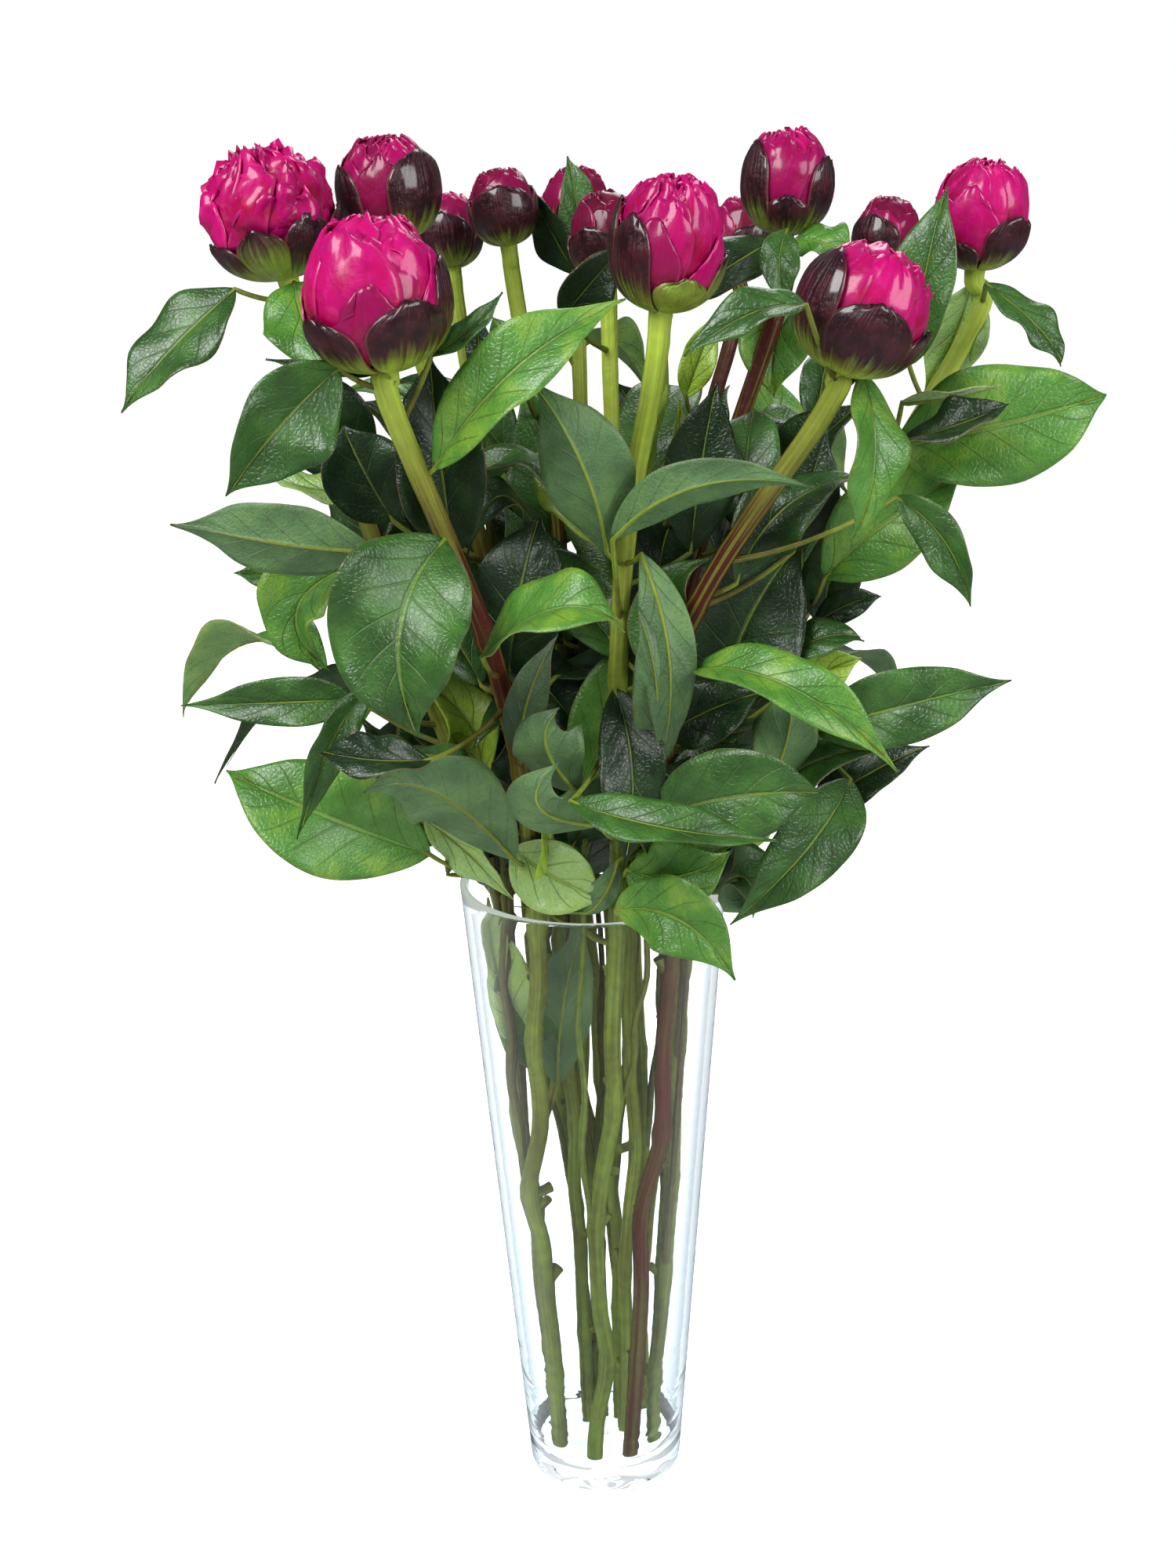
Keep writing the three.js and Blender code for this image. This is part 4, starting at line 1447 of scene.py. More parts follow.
@dataclass
class Peony:
    """One peony: its cane with its leaves, and the bud of petals and sepals.

    Attributes:
        name: Its name, which its solids' names start with.
        centre: The bud's centre.
        width: The bud's width.
        height: The bud's height.
        lean: The way that the bud points.
        girth: The cane's radius.
        mouth: Radius and angle, in degrees, where the cane passes the vase's mouth.
        foot: Radius of its cut end inside the vase.
        bend: A point of the cane between the mouth and the neck.
        petals: How full it is: over five gives its outer rings five petals each, else four.
        turn: The direction of the first, in degrees.
        flare: How far the outer petals open.
        sepals: For each, direction from the front, half its spread, how near the top it
            reaches, all in degrees, and how dark it is.
        redness: How red the cane is at mid height.
        frill: How far the petals' lips are ruffled, as a share of the bud.
        crumple: How crumpled the petals are, in metres.
        dusty: How dull the petals are.
        inner: How many inner leaves its cane carries.
        flush: How red the cane is inside the vase.
        red_to: The height where the cane's red ends.
        swirl: How far the petals turn round the bud, in degrees.
        egg: How much narrower its top half is, as a share.
        neck_length: How far below the bud the cane starts to follow its lean.
        bibs: For each short petal outside the rings, direction from the front, half its spread
            and the angle of its lip, all in degrees, and how dull it is.
    """

    name: str
    centre: Point
    width: float
    height: float
    lean: Point
    girth: float
    mouth: tuple[float, float]
    foot: float
    bend: Point
    petals: int
    turn: float
    flare: float
    sepals: tuple[tuple[float, float, float, float], ...]
    redness: float = 0.4
    frill: float = 0.04
    crumple: float = 0.0007
    dusty: float = 0.0
    inner: int = 10
    flush: float = 0.05
    red_to: float = 0.54
    swirl: float = 26.0
    egg: float = 0.08
    neck_length: float = 0.022
    bibs: tuple[tuple[float, float, float, float], ...] = ()

    knob_length = 0.004
    foot_height = 0.0135
    mouth_height = 0.296
    twist = 25.0
    samples = 121
    front = -90.0
    cane_sides = 12
    joint_swell = (0.12, 0.3)
    joint_length = 0.0042
    joint_gap = (0.045, 0.08)
    knock_length = 0.024
    stub_length = (0.005, 0.011)
    stub_samples = 5
    twig_girth = 0.0016
    twig_crook = 0.0012
    twig_samples = 25
    inner_tries = 60
    inner_reach = (0.008, 0.026)
    inner_lean = (-10, 70)
    inner_length = (0.05, 0.09)
    inner_width = (0.36, 0.5)
    # The inner leaves lean to deep greens: partly painted shade for leaves deep inside the bouquet.
    inner_tones = (0.0, 0.1, 0.25, 0.5, 0.75)
    inner_odds = (0.25, 0.25, 0.3, 0.13, 0.07)
    petal_turn = (-12, 12)
    petal_spread = (0.88, 1.15)
    petal_dust = (-0.2, 0.3)
    petal_shingle = 0.03
    petal_dip = (4, 18)
    petal_shoulder = (0.62, 0.78)
    petal_point = (0.02, 0.05)
    petal_swirl = (0.4, 1.5)
    petal_thickness = 0.0005
    petal_ripple = 0.009
    sepal_thickness = 0.0011
    sepal_ripple = 0.006

    def __post_init__(self) -> None:
        """Works out the bud's frame and the cane's route."""
        self.random = np.random.default_rng(sum(map(ord, self.name)))
        self.axis = unit(np.array(self.lean, dtype=float))
        turn = Vector((0, 0, 1)).rotation_difference(Vector(self.axis))
        self.frame = np.array(turn.to_matrix())
        self.core = np.array(self.centre)
        neck = self.core - self.axis * (self.height / 2 + 0.001 + self.knob_length + 0.0004)
        knots = [self.inside_vase(share) for share in (0.0, 0.5, 1.0)]
        knots += [np.array(self.bend), neck - self.axis * self.neck_length, neck]
        self.route = through(np.array(knots), np.linspace(0.0, 1.0, self.samples))

    def inside_vase(self, share: float) -> Array:
        """Gives the cane's point at a share of the way from its foot to the vase's mouth."""
        radius = self.foot + (self.mouth[0] - self.foot) * share
        angle = math.radians(self.mouth[1] - self.twist * (1 - share))
        height = self.foot_height + (self.mouth_height - self.foot_height) * share
        return np.array([radius * math.cos(angle), radius * math.sin(angle), height])

    def level(self, height: float) -> Array:
        """Gives the point of the cane that is nearest to a height."""
        return self.route[np.argmin(np.abs(self.route[:, 2] - height))]

    def stalk(self, foot: Array, drop: float) -> Curve:
        """Finds the curve of a leaf's stalk.

        Args:
            foot: The foot of the blade.
            drop: How far below it the stalk leaves the cane, as a share of its reach.

        Returns:
            The curve's first point, handle and last point.
        """
        reach = float(np.hypot(*(foot - self.level(foot[2]))[:2]))
        root = self.level(foot[2] - drop * reach)
        crook = (root + foot) / 2
        crook[2] -= 0.12 * np.linalg.norm(root - foot)
        return root, crook, foot

    # ---- Cane and leaves ------------------------------------------------------------------

    def cane(self) -> list[Line]:
        """Shapes the cane up to the bud's base, with swollen joints and the stubs of side shoots.

        Returns:
            The lines of the cane and its stubs.
        """
        top = self.core - self.axis * (self.height / 2 - 0.002)
        points = np.vstack([self.route, (self.route[-1] + top) / 2, top])
        steps = np.linalg.norm(np.diff(points, axis=0), axis=1)
        length = np.concatenate([[0.0], np.cumsum(steps)])
        height = points[:, 2]
        girth = np.full(len(points), self.girth)
        girth *= 0.8 + 0.04 * smooth(height, 0.25, 0.3) + 0.14 * smooth(height, 0.46, 0.56)
        joint, spots = 0.03 + self.random.uniform(0, 0.03), []
        while joint < 0.46:
            swell = self.random.uniform(*self.joint_swell)
            girth *= 1 + swell * np.exp(-(((length - joint) / self.joint_length) ** 2))
            knock = self.random.normal(0, 1, 3) * (0.002 if joint < 0.24 else 0.0007)
            near = np.exp(-(((length - joint) / self.knock_length) ** 2))
            points = points + knock * near[:, None]
            spots.append(joint)
            joint += self.random.uniform(*self.joint_gap)
        girth[-2:] *= (1.05, 1.5)
        red = self.redness * smooth(height, 0.28, 0.42)
        red *= 1 - smooth(height, self.red_to - 0.1, self.red_to)
        red += 0.12 * self.redness + 0.25 * np.sin(length * 37 + self.turn) ** 4 * (height < 0.3)
        red += self.flush * (1 - smooth(height, 0.27, 0.33))
        age = 0.95 - 0.3 * self.random.random() * (height < 0.4) - 0.8 * smooth(height, 0.3, 0.5)
        lines = [Line(points, girth, red, age, self.random.random())]
        for spot in spots:
            if spot < 0.27 and self.random.random() < 0.75:
                start = points[np.argmin(np.abs(length - spot))]
                swing = self.random.normal(0, 0.5, 3)
                way = unit(unit(start * (-1, -1, 0)) + swing + (0, 0, 1.1))
                way = way * self.random.uniform(*self.stub_length)
                stub = start + way * np.linspace(0.0, 1.0, self.stub_samples)[:, None]
                thick = self.girth * self.random.uniform(0.45, 0.65)
                thick = thick * np.array([1.15, 1.0, 0.95, 0.95, 1.0])
                flush, olive = np.full(self.stub_samples, 0.4), np.full(self.stub_samples, 0.8)
                lines.append(Line(stub, thick, flush, olive, self.random.random()))
        return lines + [self.twig(points) for _ in range(2)]

    def twig(self, points: Array) -> Line:
        """Shapes a thin side shoot that forks off the cane inside the vase.

        Args:
            points: The cane's centre line.

        Returns:
            The line.
        """
        root = points[np.argmin(np.abs(points[:, 2] - self.random.uniform(0.1, 0.22)))]
        top = self.level(self.random.uniform(0.31, 0.34))
        inward = unit(top * (-1, -1, 0))
        side = np.cross(inward, (0.0, 0.0, 1.0)) * self.random.choice([-1, 1])
        side = side * self.random.uniform(0.8, 1.2)
        end = top + side * 0.013 + inward * self.random.uniform(0.0, 0.008)
        handle = root * 0.6 + end * 0.4 + side * 0.009
        shares = np.linspace(0.0, 1.0, self.twig_samples)
        line, _ = bezier(root, handle, end, shares)
        crook = np.sin(shares * math.pi)[:, None] * np.sin(shares * 21)[:, None]
        line = line + crook * side * self.twig_crook
        girth = self.twig_girth * (1 + 0.7 * np.exp(-shares * 14) - 0.25 * shares)
        girth *= 1 + 0.35 * np.exp(-(((shares - 0.45) / 0.03) ** 2))
        red = np.full(self.twig_samples, self.random.uniform(0.1, 0.8))
        return Line(line, girth, red, np.full(self.twig_samples, 0.9), self.random.random())

    def stalk_line(self, shoot: Shoot, blades: Blades) -> Line:
        """Shapes a leaf's stalk, which runs on as the midrib below its blade.

        Args:
            shoot: The leaf.
            blades: The shape of the blades.

        Returns:
            The line.
        """
        lower, _ = bezier(*shoot.stalk, np.linspace(0.0, 1.0, 13))
        shares = np.linspace(0.0, 0.93, 16)[1:]
        upper, tangent = bezier(*shoot.spine, shares)
        rib = 0.8 * blades.stalk_girth * (1 - 0.85 * shares)
        upper = upper - square_to(shoot.facing, tangent) * (0.65 * rib[:, None] + 0.0003)
        shares = np.linspace(0.0, 1.0, 13)
        girth = blades.stalk_girth * (1.0 + 0.9 * np.exp(-shares * 9))
        points = VASE.clear(np.vstack([lower, upper]), VASE.holds(shoot.spine))
        girth = np.concatenate([girth, rib])
        red = np.full(len(points), 0.3 * self.redness + 0.1)
        red[:8] += 0.35 * self.redness
        age = np.linspace(0.7, 0.25, len(points))
        return Line(points, girth, red, age, self.random.random())

    def shoots(self, leaves: Sequence[Leaf], sprays: Sequence[Spray]) -> list[Shoot]:
        """Places the leaves that were drawn one by one, and the compound ones.

        Args:
            leaves: The single leaves that this cane carries.
            sprays: Its compound leaves.

        Returns:
            The leaves in place.
        """
        shoots = []
        for leaf in leaves:
            foot, middle, tip = (np.array(point) for point in (leaf.foot, leaf.middle, leaf.tip))
            spine = (foot, 2 * middle - (foot + tip) / 2, tip)
            stalk = self.stalk(foot, leaf.drop)
            facing = np.array(leaf.facing.value)
            shoots.append(Shoot(stalk, spine, leaf.width, facing, leaf.tone.value))
        for spray in sprays:
            level = self.level(spray.height)
            end = np.array([level[0], level[1], spray.height]) + spray.reach * spray.way(0, 0)
            stalk = self.stalk(end, spray.drop)
            fork = bezier(*stalk, np.array([spray.fork]))[0][0]
            for turn in (0.0, -spray.spread, spray.spread):
                size, foot = (1.0, end) if turn == 0 else (spray.side_share, fork)
                middle = foot + spray.way(turn, spray.rise) * size * spray.length / 2
                tip = foot + spray.way(turn, -spray.droop) * size * spray.length
                spine = (foot, 2 * middle - (foot + tip) / 2, tip)
                stub = (fork, fork + (middle - fork) * 0.01, fork + (middle - fork) * 0.02)
                tone = self.random.choice([DARK.value, MID.value, FRESH.value])
                below = stalk if turn == 0 else stub
                facing = spray.way(0, spray.tilt)
                shoots.append(Shoot(below, spine, size * spray.width, facing, tone))
        return shoots

    def inner_shoots(self, thicket: Thicket) -> list[Shoot]:
        """Fills the room round the cane with leaves in deeper greens, partly painted shade, that stay
        clear of the others.

        Args:
            thicket: The places that are taken.

        Returns:
            The leaves in place.
        """
        shoots, random = [], self.random
        for _ in range(self.inner * self.inner_tries):
            if len(shoots) == self.inner:
                break
            low = len(shoots) % 3 == 0
            level = self.level(random.uniform(0.3, 0.34) if low else random.uniform(0.33, 0.48))
            angle = math.atan2(level[1], level[0]) + random.normal(0, 1.2)
            way = np.array([math.cos(angle), math.sin(angle), 0.0])
            lean = math.radians(random.uniform(*self.inner_lean))
            length = random.uniform(*self.inner_length)
            foot = level + way * random.uniform(*self.inner_reach)
            run = way * math.cos(lean) + np.array([0.0, 0.0, math.sin(lean)])
            arch = np.array([0.0, 0.0, math.cos(lean)]) - way * math.sin(lean)
            tip = foot + run * length
            handle = foot + run * length * 0.5 + arch * length * random.uniform(0.05, 0.4)
            facing = way * random.uniform(0.1, 1.0) + np.array([0.0, -0.35, 0.8])
            tone = random.choice(self.inner_tones, p=self.inner_odds)
            width = length * random.uniform(*self.inner_width)
            shoot = Shoot(self.stalk(foot, 0.6), (foot, handle, tip), width, facing, tone)
            if thicket.has_room(shoot.spots()):
                thicket.take(shoot.spots())
                shoots.append(shoot)
        return shoots

    def build_stem(self, shoots: Sequence[Shoot], blades: Blades, skin: StemFinish) -> None:
        """Makes the cane with its stalks, and the leaf blades.

        Args:
            shoots: The leaves that this cane carries.
            blades: The shape of the blades.
            skin: The cane's finish.
        """
        lines, sheets = self.cane(), []
        for shoot in shoots:
            lines.append(self.stalk_line(shoot, blades))
            sheets.append(blades.sheet(shoot, self.random))
        piece = grow_canes(self.name + "_cane", lines, self.cane_sides, skin.material())
        attach(piece, Slot.LEAF, self.name + "_stem")
        leaf = blades.finish.material()
        piece = grow_sheets(self.name + "_leaves", sheets, blades.thickness, blades.ripple, leaf)
        attach(piece, Slot.LEAF, self.name + "_stem")

    # ---- Bud ------------------------------------------------------------------------------

    def patch(
        self,
        heading: float,
        spread: float,
        start: float,
        end: float,
        levels: Point,
        tone: float,
        grid: tuple[int, int] = (16, 14),
        shingle: float = 0.0,
        frill: float = 0.0,
        dip: float = 12.0,
        press: float = 0.0,
        crumple: float = 0.0,
        shoulder: float = 0.55,
        point: float = 0.05,
        swirl: float = 0.0,
        nod: float = 0.0,
    ) -> Sheet:
        """Shapes a curved blade on the bud's egg.

        Args:
            heading: Its direction round the axis, in degrees.
            spread: Half the angle that it takes in round the axis.
            start: The angle of its foot from the bud's top.
            end: The angle of its tip.
            levels: Its distance out at the foot and higher up, as shares of the egg's, and
                how much further out the tip is.
            tone: What the finish reads as tone.
            grid: Rows and columns.
            shingle: How far one side edge stands out and the other in.
            frill: How far the lip is ruffled, as a share of the bud.
            dip: How much lower the lip's corners are than its middle, in degrees.
            press: How far the side edges are pressed in.
            crumple: How far its points may ripple, in metres.
            shoulder: How far along it the sides start to close.
            point: How much of the curve past the tip is cut off, 0 where it closes round.
            swirl: How far its tip is turned round the axis, in degrees.
            nod: How far the egg's axis is tipped for it, in degrees.

        Returns:
            The blade.
        """
        rows, columns = grid
        across, along = np.meshgrid(np.linspace(-1, 1, columns + 1), np.linspace(0, 1, rows + 1))
        sunk, level, lift = levels
        phases = self.random.uniform(0, 2 * math.pi, 4)
        waves = 2.2 + self.random.uniform(0, 1.4)
        lip = along**4
        top = end + dip * across**2 + 90 * frill * np.sin(across * waves * 2 + phases[0])
        polar = np.radians(start + (top - start) * along)
        round_ = np.sqrt(1 - np.clip((along - shoulder) / (1.0 + point - shoulder), 0, 1) ** 2)
        turn = np.radians(heading + across * spread * round_ + swirl * along**1.5)
        share = sunk + (level - sunk) * smooth(along, 0.0, 0.34) + lift * along**3
        share = share + shingle * across - press * np.abs(across) ** 3
        share = share + frill * lip * np.sin(across * math.pi * waves + phases[1])
        share = share + frill * 0.5 * along**2 * np.sin(across * 3 + along * 6 + phases[2])
        wide, tall = self.width / 2, self.height / 2
        out = wide * share * np.sign(polar) * np.abs(np.sin(polar)) ** 0.88
        out = out * (1 - self.egg * np.cos(polar))
        up = tall * share * np.sign(np.cos(polar)) * np.abs(np.cos(polar)) ** 0.94
        spot = np.stack([out * np.cos(turn), out * np.sin(turn), up], axis=-1)
        tip = math.radians(self.turn * 2.3)
        hinge = Vector((math.cos(tip), math.sin(tip), 0.0))
        spot = spot @ np.array(Matrix.Rotation(math.radians(nod), 3, hinge)).T
        points = spot @ self.frame.T + self.core
        give = crumple * (0.3 + along)
        return Sheet(points, across, along, give, tone, 1.0, self.random.random())

    def ring(self, ring: Ring) -> list[Sheet]:
        """Shapes a ring of petals that overlap like shingles.

        Args:
            ring: The ring.

        Returns:
            The petals.
        """
        count = ring.count or (5 if self.petals > 5 else 4)
        spread = ring.spread or 250 / count
        flare = self.flare if ring.flared else 0.0
        (low, high), (foot, level, lift) = ring.ends, ring.levels
        random, sheets = self.random, []
        order = random.permutation(count)
        for number in range(count):
            end = low + (high - low) * (order[number] + random.uniform(0, 0.6)) / count
            petal = self.patch(
                self.turn + ring.turn + 360 * number / count + random.uniform(*self.petal_turn),
                spread * random.uniform(*self.petal_spread),
                ring.start,
                end,
                (foot, level - flare, lift + flare),
                float(np.clip(self.dusty + random.uniform(*self.petal_dust), 0, 1)),
                ring.grid,
                shingle=self.petal_shingle,
                frill=self.frill * ring.frill,
                dip=random.uniform(*self.petal_dip),
                crumple=self.crumple,
                shoulder=random.uniform(*self.petal_shoulder),
                point=random.uniform(*self.petal_point),
                swirl=self.swirl * random.uniform(*self.petal_swirl),
                nod=ring.nod,
            )
            sheets.append(petal)
        return sheets

    def build_bud(self, petal: PetalFinish, sepal: SepalFinish) -> None:
        """Makes the petals in their rings round a closed heart, and the sepals that hold them.

        Args:
            petal: The petals' finish.
            sepal: The sepals' finish.
        """
        petals = [sheet for ring in RINGS for sheet in self.ring(ring)]
        heart = self.patch(
            0, 180, 110, 0, (0.7, 0.79, 0.0), self.dusty, (14, 32),
            crumple=0.001, dip=0, shoulder=1.0,
        )
        petals += [
            self.patch(
                heading + self.front, spread, 172, reach, (0.98, 1.03, 0.004), tone, (22, 24),
                shingle=0.004, frill=0.02, dip=16, crumple=self.crumple * 0.8, shoulder=0.62,
                point=0.02, swirl=self.swirl * 0.5,
            )
            for heading, spread, reach, tone in self.bibs
        ]
        sheets = [*petals, heart]
        look = petal.material()
        name = self.name + "_bloom"
        piece = grow_sheets(name, sheets, self.petal_thickness, self.petal_ripple, look)
        attach(piece, Slot.PETAL, self.name + "_petals")
        sepals, margin = [], self.sepal_thickness / (self.width / 2)
        for number, (heading, spread, reach, darkness) in enumerate(self.sepals):
            level = 1.035 + margin + 0.012 * (number % 2)
            blade = self.patch(
                heading + self.front, spread * 1.15, 173, reach - 5, (level, level, 0.0), darkness,
                (20, 18), shingle=0.01, shoulder=0.7, dip=4, press=0.03, frill=0.008,
                crumple=0.0002, point=0.01,
            )
            sepals.append(blade)
        look = sepal.material()
        name = self.name + "_calyx"
        piece = grow_sheets(name, sepals, self.sepal_thickness, self.sepal_ripple, look)
        attach(piece, Slot.SEPAL, self.name + "_sepals")


PEONIES = (
    Peony(
        "front_left", (-0.073, -0.095, 0.557), 0.050, 0.053, (-0.1, -0.12, 1), 0.0047,
        (0.043, 236), 0.025, (-0.035, -0.057, 0.402), 5, 215, 0.03,
        ((-52, 34, 104, 0.82), (33, 34, 98, 0.86), (86, 24, 78, 0.8), (150, 36, 96, 0.8),
         (-128, 36, 100, 0.8)),
        redness=1.15, frill=0.045, inner=8, swirl=16, egg=0.14, neck_length=0.012,
        bibs=((-6, 42, 80, 0.6), (70, 38, 66, 0.2)),
    ),
    Peony(
        "front_right", (0.101, -0.090, 0.547), 0.046, 0.045, (0.35, -0.12, 1), 0.0046,
        (0.043, 322), 0.025, (0.033, -0.057, 0.410), 7, 230, 0.02,
        ((-66, 30, 52, 0.97), (4, 36, 84, 0.9), (74, 28, 96, 0.85), (144, 34, 90, 0.8),
         (-138, 34, 96, 0.8)),
        redness=1.1, frill=0.045, flush=0.9, red_to=0.55, neck_length=0.012,
    ),
    Peony(
        "centre", (0.033, -0.060, 0.571), 0.040, 0.048, (0.12, -0.05, 1), 0.0046,
        (0.043, 283), 0.025, (0.014, -0.050, 0.440), 7, 160, 0.06,
        ((-92, 22, 66, 1), (-44, 22, 78, 0.9), (22, 34, 122, 0.35), (92, 30, 100, 0.6),
         (166, 36, 92, 0.8)),
        redness=0.25, frill=0.05, bibs=((-34, 40, 72, 0.6), (48, 34, 84, 0.1)),
    ),
    Peony(
        "far_left", (-0.119, -0.020, 0.583), 0.049, 0.046, (-0.2, -0.05, 1), 0.0042,
        (0.043, 193), 0.025, (-0.077, -0.016, 0.420), 7, 250, 0.08,
        ((-62, 28, 108, 0.8), (-8, 22, 104, 0.66), (40, 22, 100, 0.92), (96, 30, 98, 0.8),
         (170, 36, 96, 0.8)),
        redness=0.7, frill=0.13, crumple=0.003, swirl=40,
    ),
    Peony(
        "far_right", (0.161, 0.005, 0.578), 0.038, 0.042, (0.05, -0.05, 1), 0.0041,
        (0.043, 0), 0.025, (0.088, 0.000, 0.410), 6, 320, 0.05,
        ((34, 32, 98, 0.9), (-48, 34, 122, 0.95), (116, 36, 96, 0.8), (-140, 40, 98, 0.8)),
        redness=0.8, frill=0.03, crumple=0.0005, swirl=10, bibs=((-30, 42, 64, 0.1),),
    ),
    Peony(
        "upper_right", (0.084, 0.010, 0.592), 0.034, 0.040, (0.05, 0, 1), 0.0040,
        (0.019, 10), 0.0095, (0.044, 0.006, 0.430), 6, 290, 0.0,
        ((-62, 28, 58, 0.92), (-4, 28, 112, 0.88), (54, 26, 74, 0.92), (150, 44, 86, 0.9)),
        redness=1.2, frill=0.04, dusty=0.25, red_to=0.66,
    ),
    Peony(
        "left", (-0.076, 0.010, 0.593), 0.038, 0.040, (-0.1, 0, 1), 0.0040,
        (0.019, 172), 0.0095, (-0.040, 0.006, 0.430), 6, 180, 0.0,
        ((-68, 34, 72, 1), (54, 44, 66, 0.93), (168, 44, 84, 0.9)),
        redness=0.8, frill=0.03, dusty=0.45, bibs=((-14, 40, 58, 0.7),),
    ),
    Peony(
        "small", (-0.032, 0.050, 0.585), 0.026, 0.031, (-0.12, 0, 1), 0.0037,
        (0.019, 118), 0.0095, (-0.012, 0.030, 0.440), 5, 260, 0.0,
        ((0, 56, 74, 0.95), (118, 50, 80, 0.9), (-118, 50, 80, 0.9)),
        redness=0.9, frill=0.03, dusty=0.7,
    ),
    Peony(
        "behind_centre", (0.012, 0.030, 0.572), 0.030, 0.036, (0, 0, 1), 0.0038,
        (0.019, 66), 0.0095, (0.012, 0.022, 0.440), 5, 240, 0.0,
        ((-30, 50, 88, 0.9), (80, 50, 80, 0.9), (-150, 50, 86, 0.9)),
        redness=0.6, frill=0.03, dusty=0.8,
    ),
    Peony(
        "back", (-0.001, 0.095, 0.584), 0.028, 0.034, (0, 0.15, 1), 0.0038,
        (0.043, 96), 0.025, (-0.001, 0.062, 0.430), 5, 30, 0.0,
        ((20, 50, 84, 0.9), (140, 50, 92, 0.9), (-100, 50, 86, 0.9)),
        redness=0.7, frill=0.03, dusty=0.7,
    ),
    Peony(
        "back_left", (-0.058, 0.090, 0.575), 0.027, 0.031, (-0.1, 0.15, 1), 0.0037,
        (0.043, 130), 0.025, (-0.040, 0.058, 0.430), 5, 60, 0.0,
        ((-10, 50, 80, 0.9), (110, 50, 92, 0.9), (-130, 50, 88, 0.9)),
        redness=0.7, frill=0.04, dusty=0.4,
    ),
    Peony(
        "back_middle", (0.075, 0.110, 0.571), 0.027, 0.031, (0.1, 0.2, 1), 0.0037,
        (0.043, 62), 0.025, (0.040, 0.066, 0.430), 5, 80, 0.0,
        ((30, 50, 92, 0.9), (150, 50, 84, 0.9), (-90, 50, 86, 0.9)),
        redness=1.2, frill=0.04, dusty=0.6, red_to=0.62,
    ),
    Peony(
        "back_right", (0.141, 0.110, 0.569), 0.028, 0.032, (0.25, 0.15, 1), 0.0037,
        (0.043, 32), 0.025, (0.074, 0.050, 0.420), 5, 100, 0.0,
        ((-40, 50, 84, 0.9), (80, 50, 90, 0.9), (-160, 50, 92, 0.9)),
        redness=1.2, frill=0.04, dusty=0.6, red_to=0.62,
    ),
)

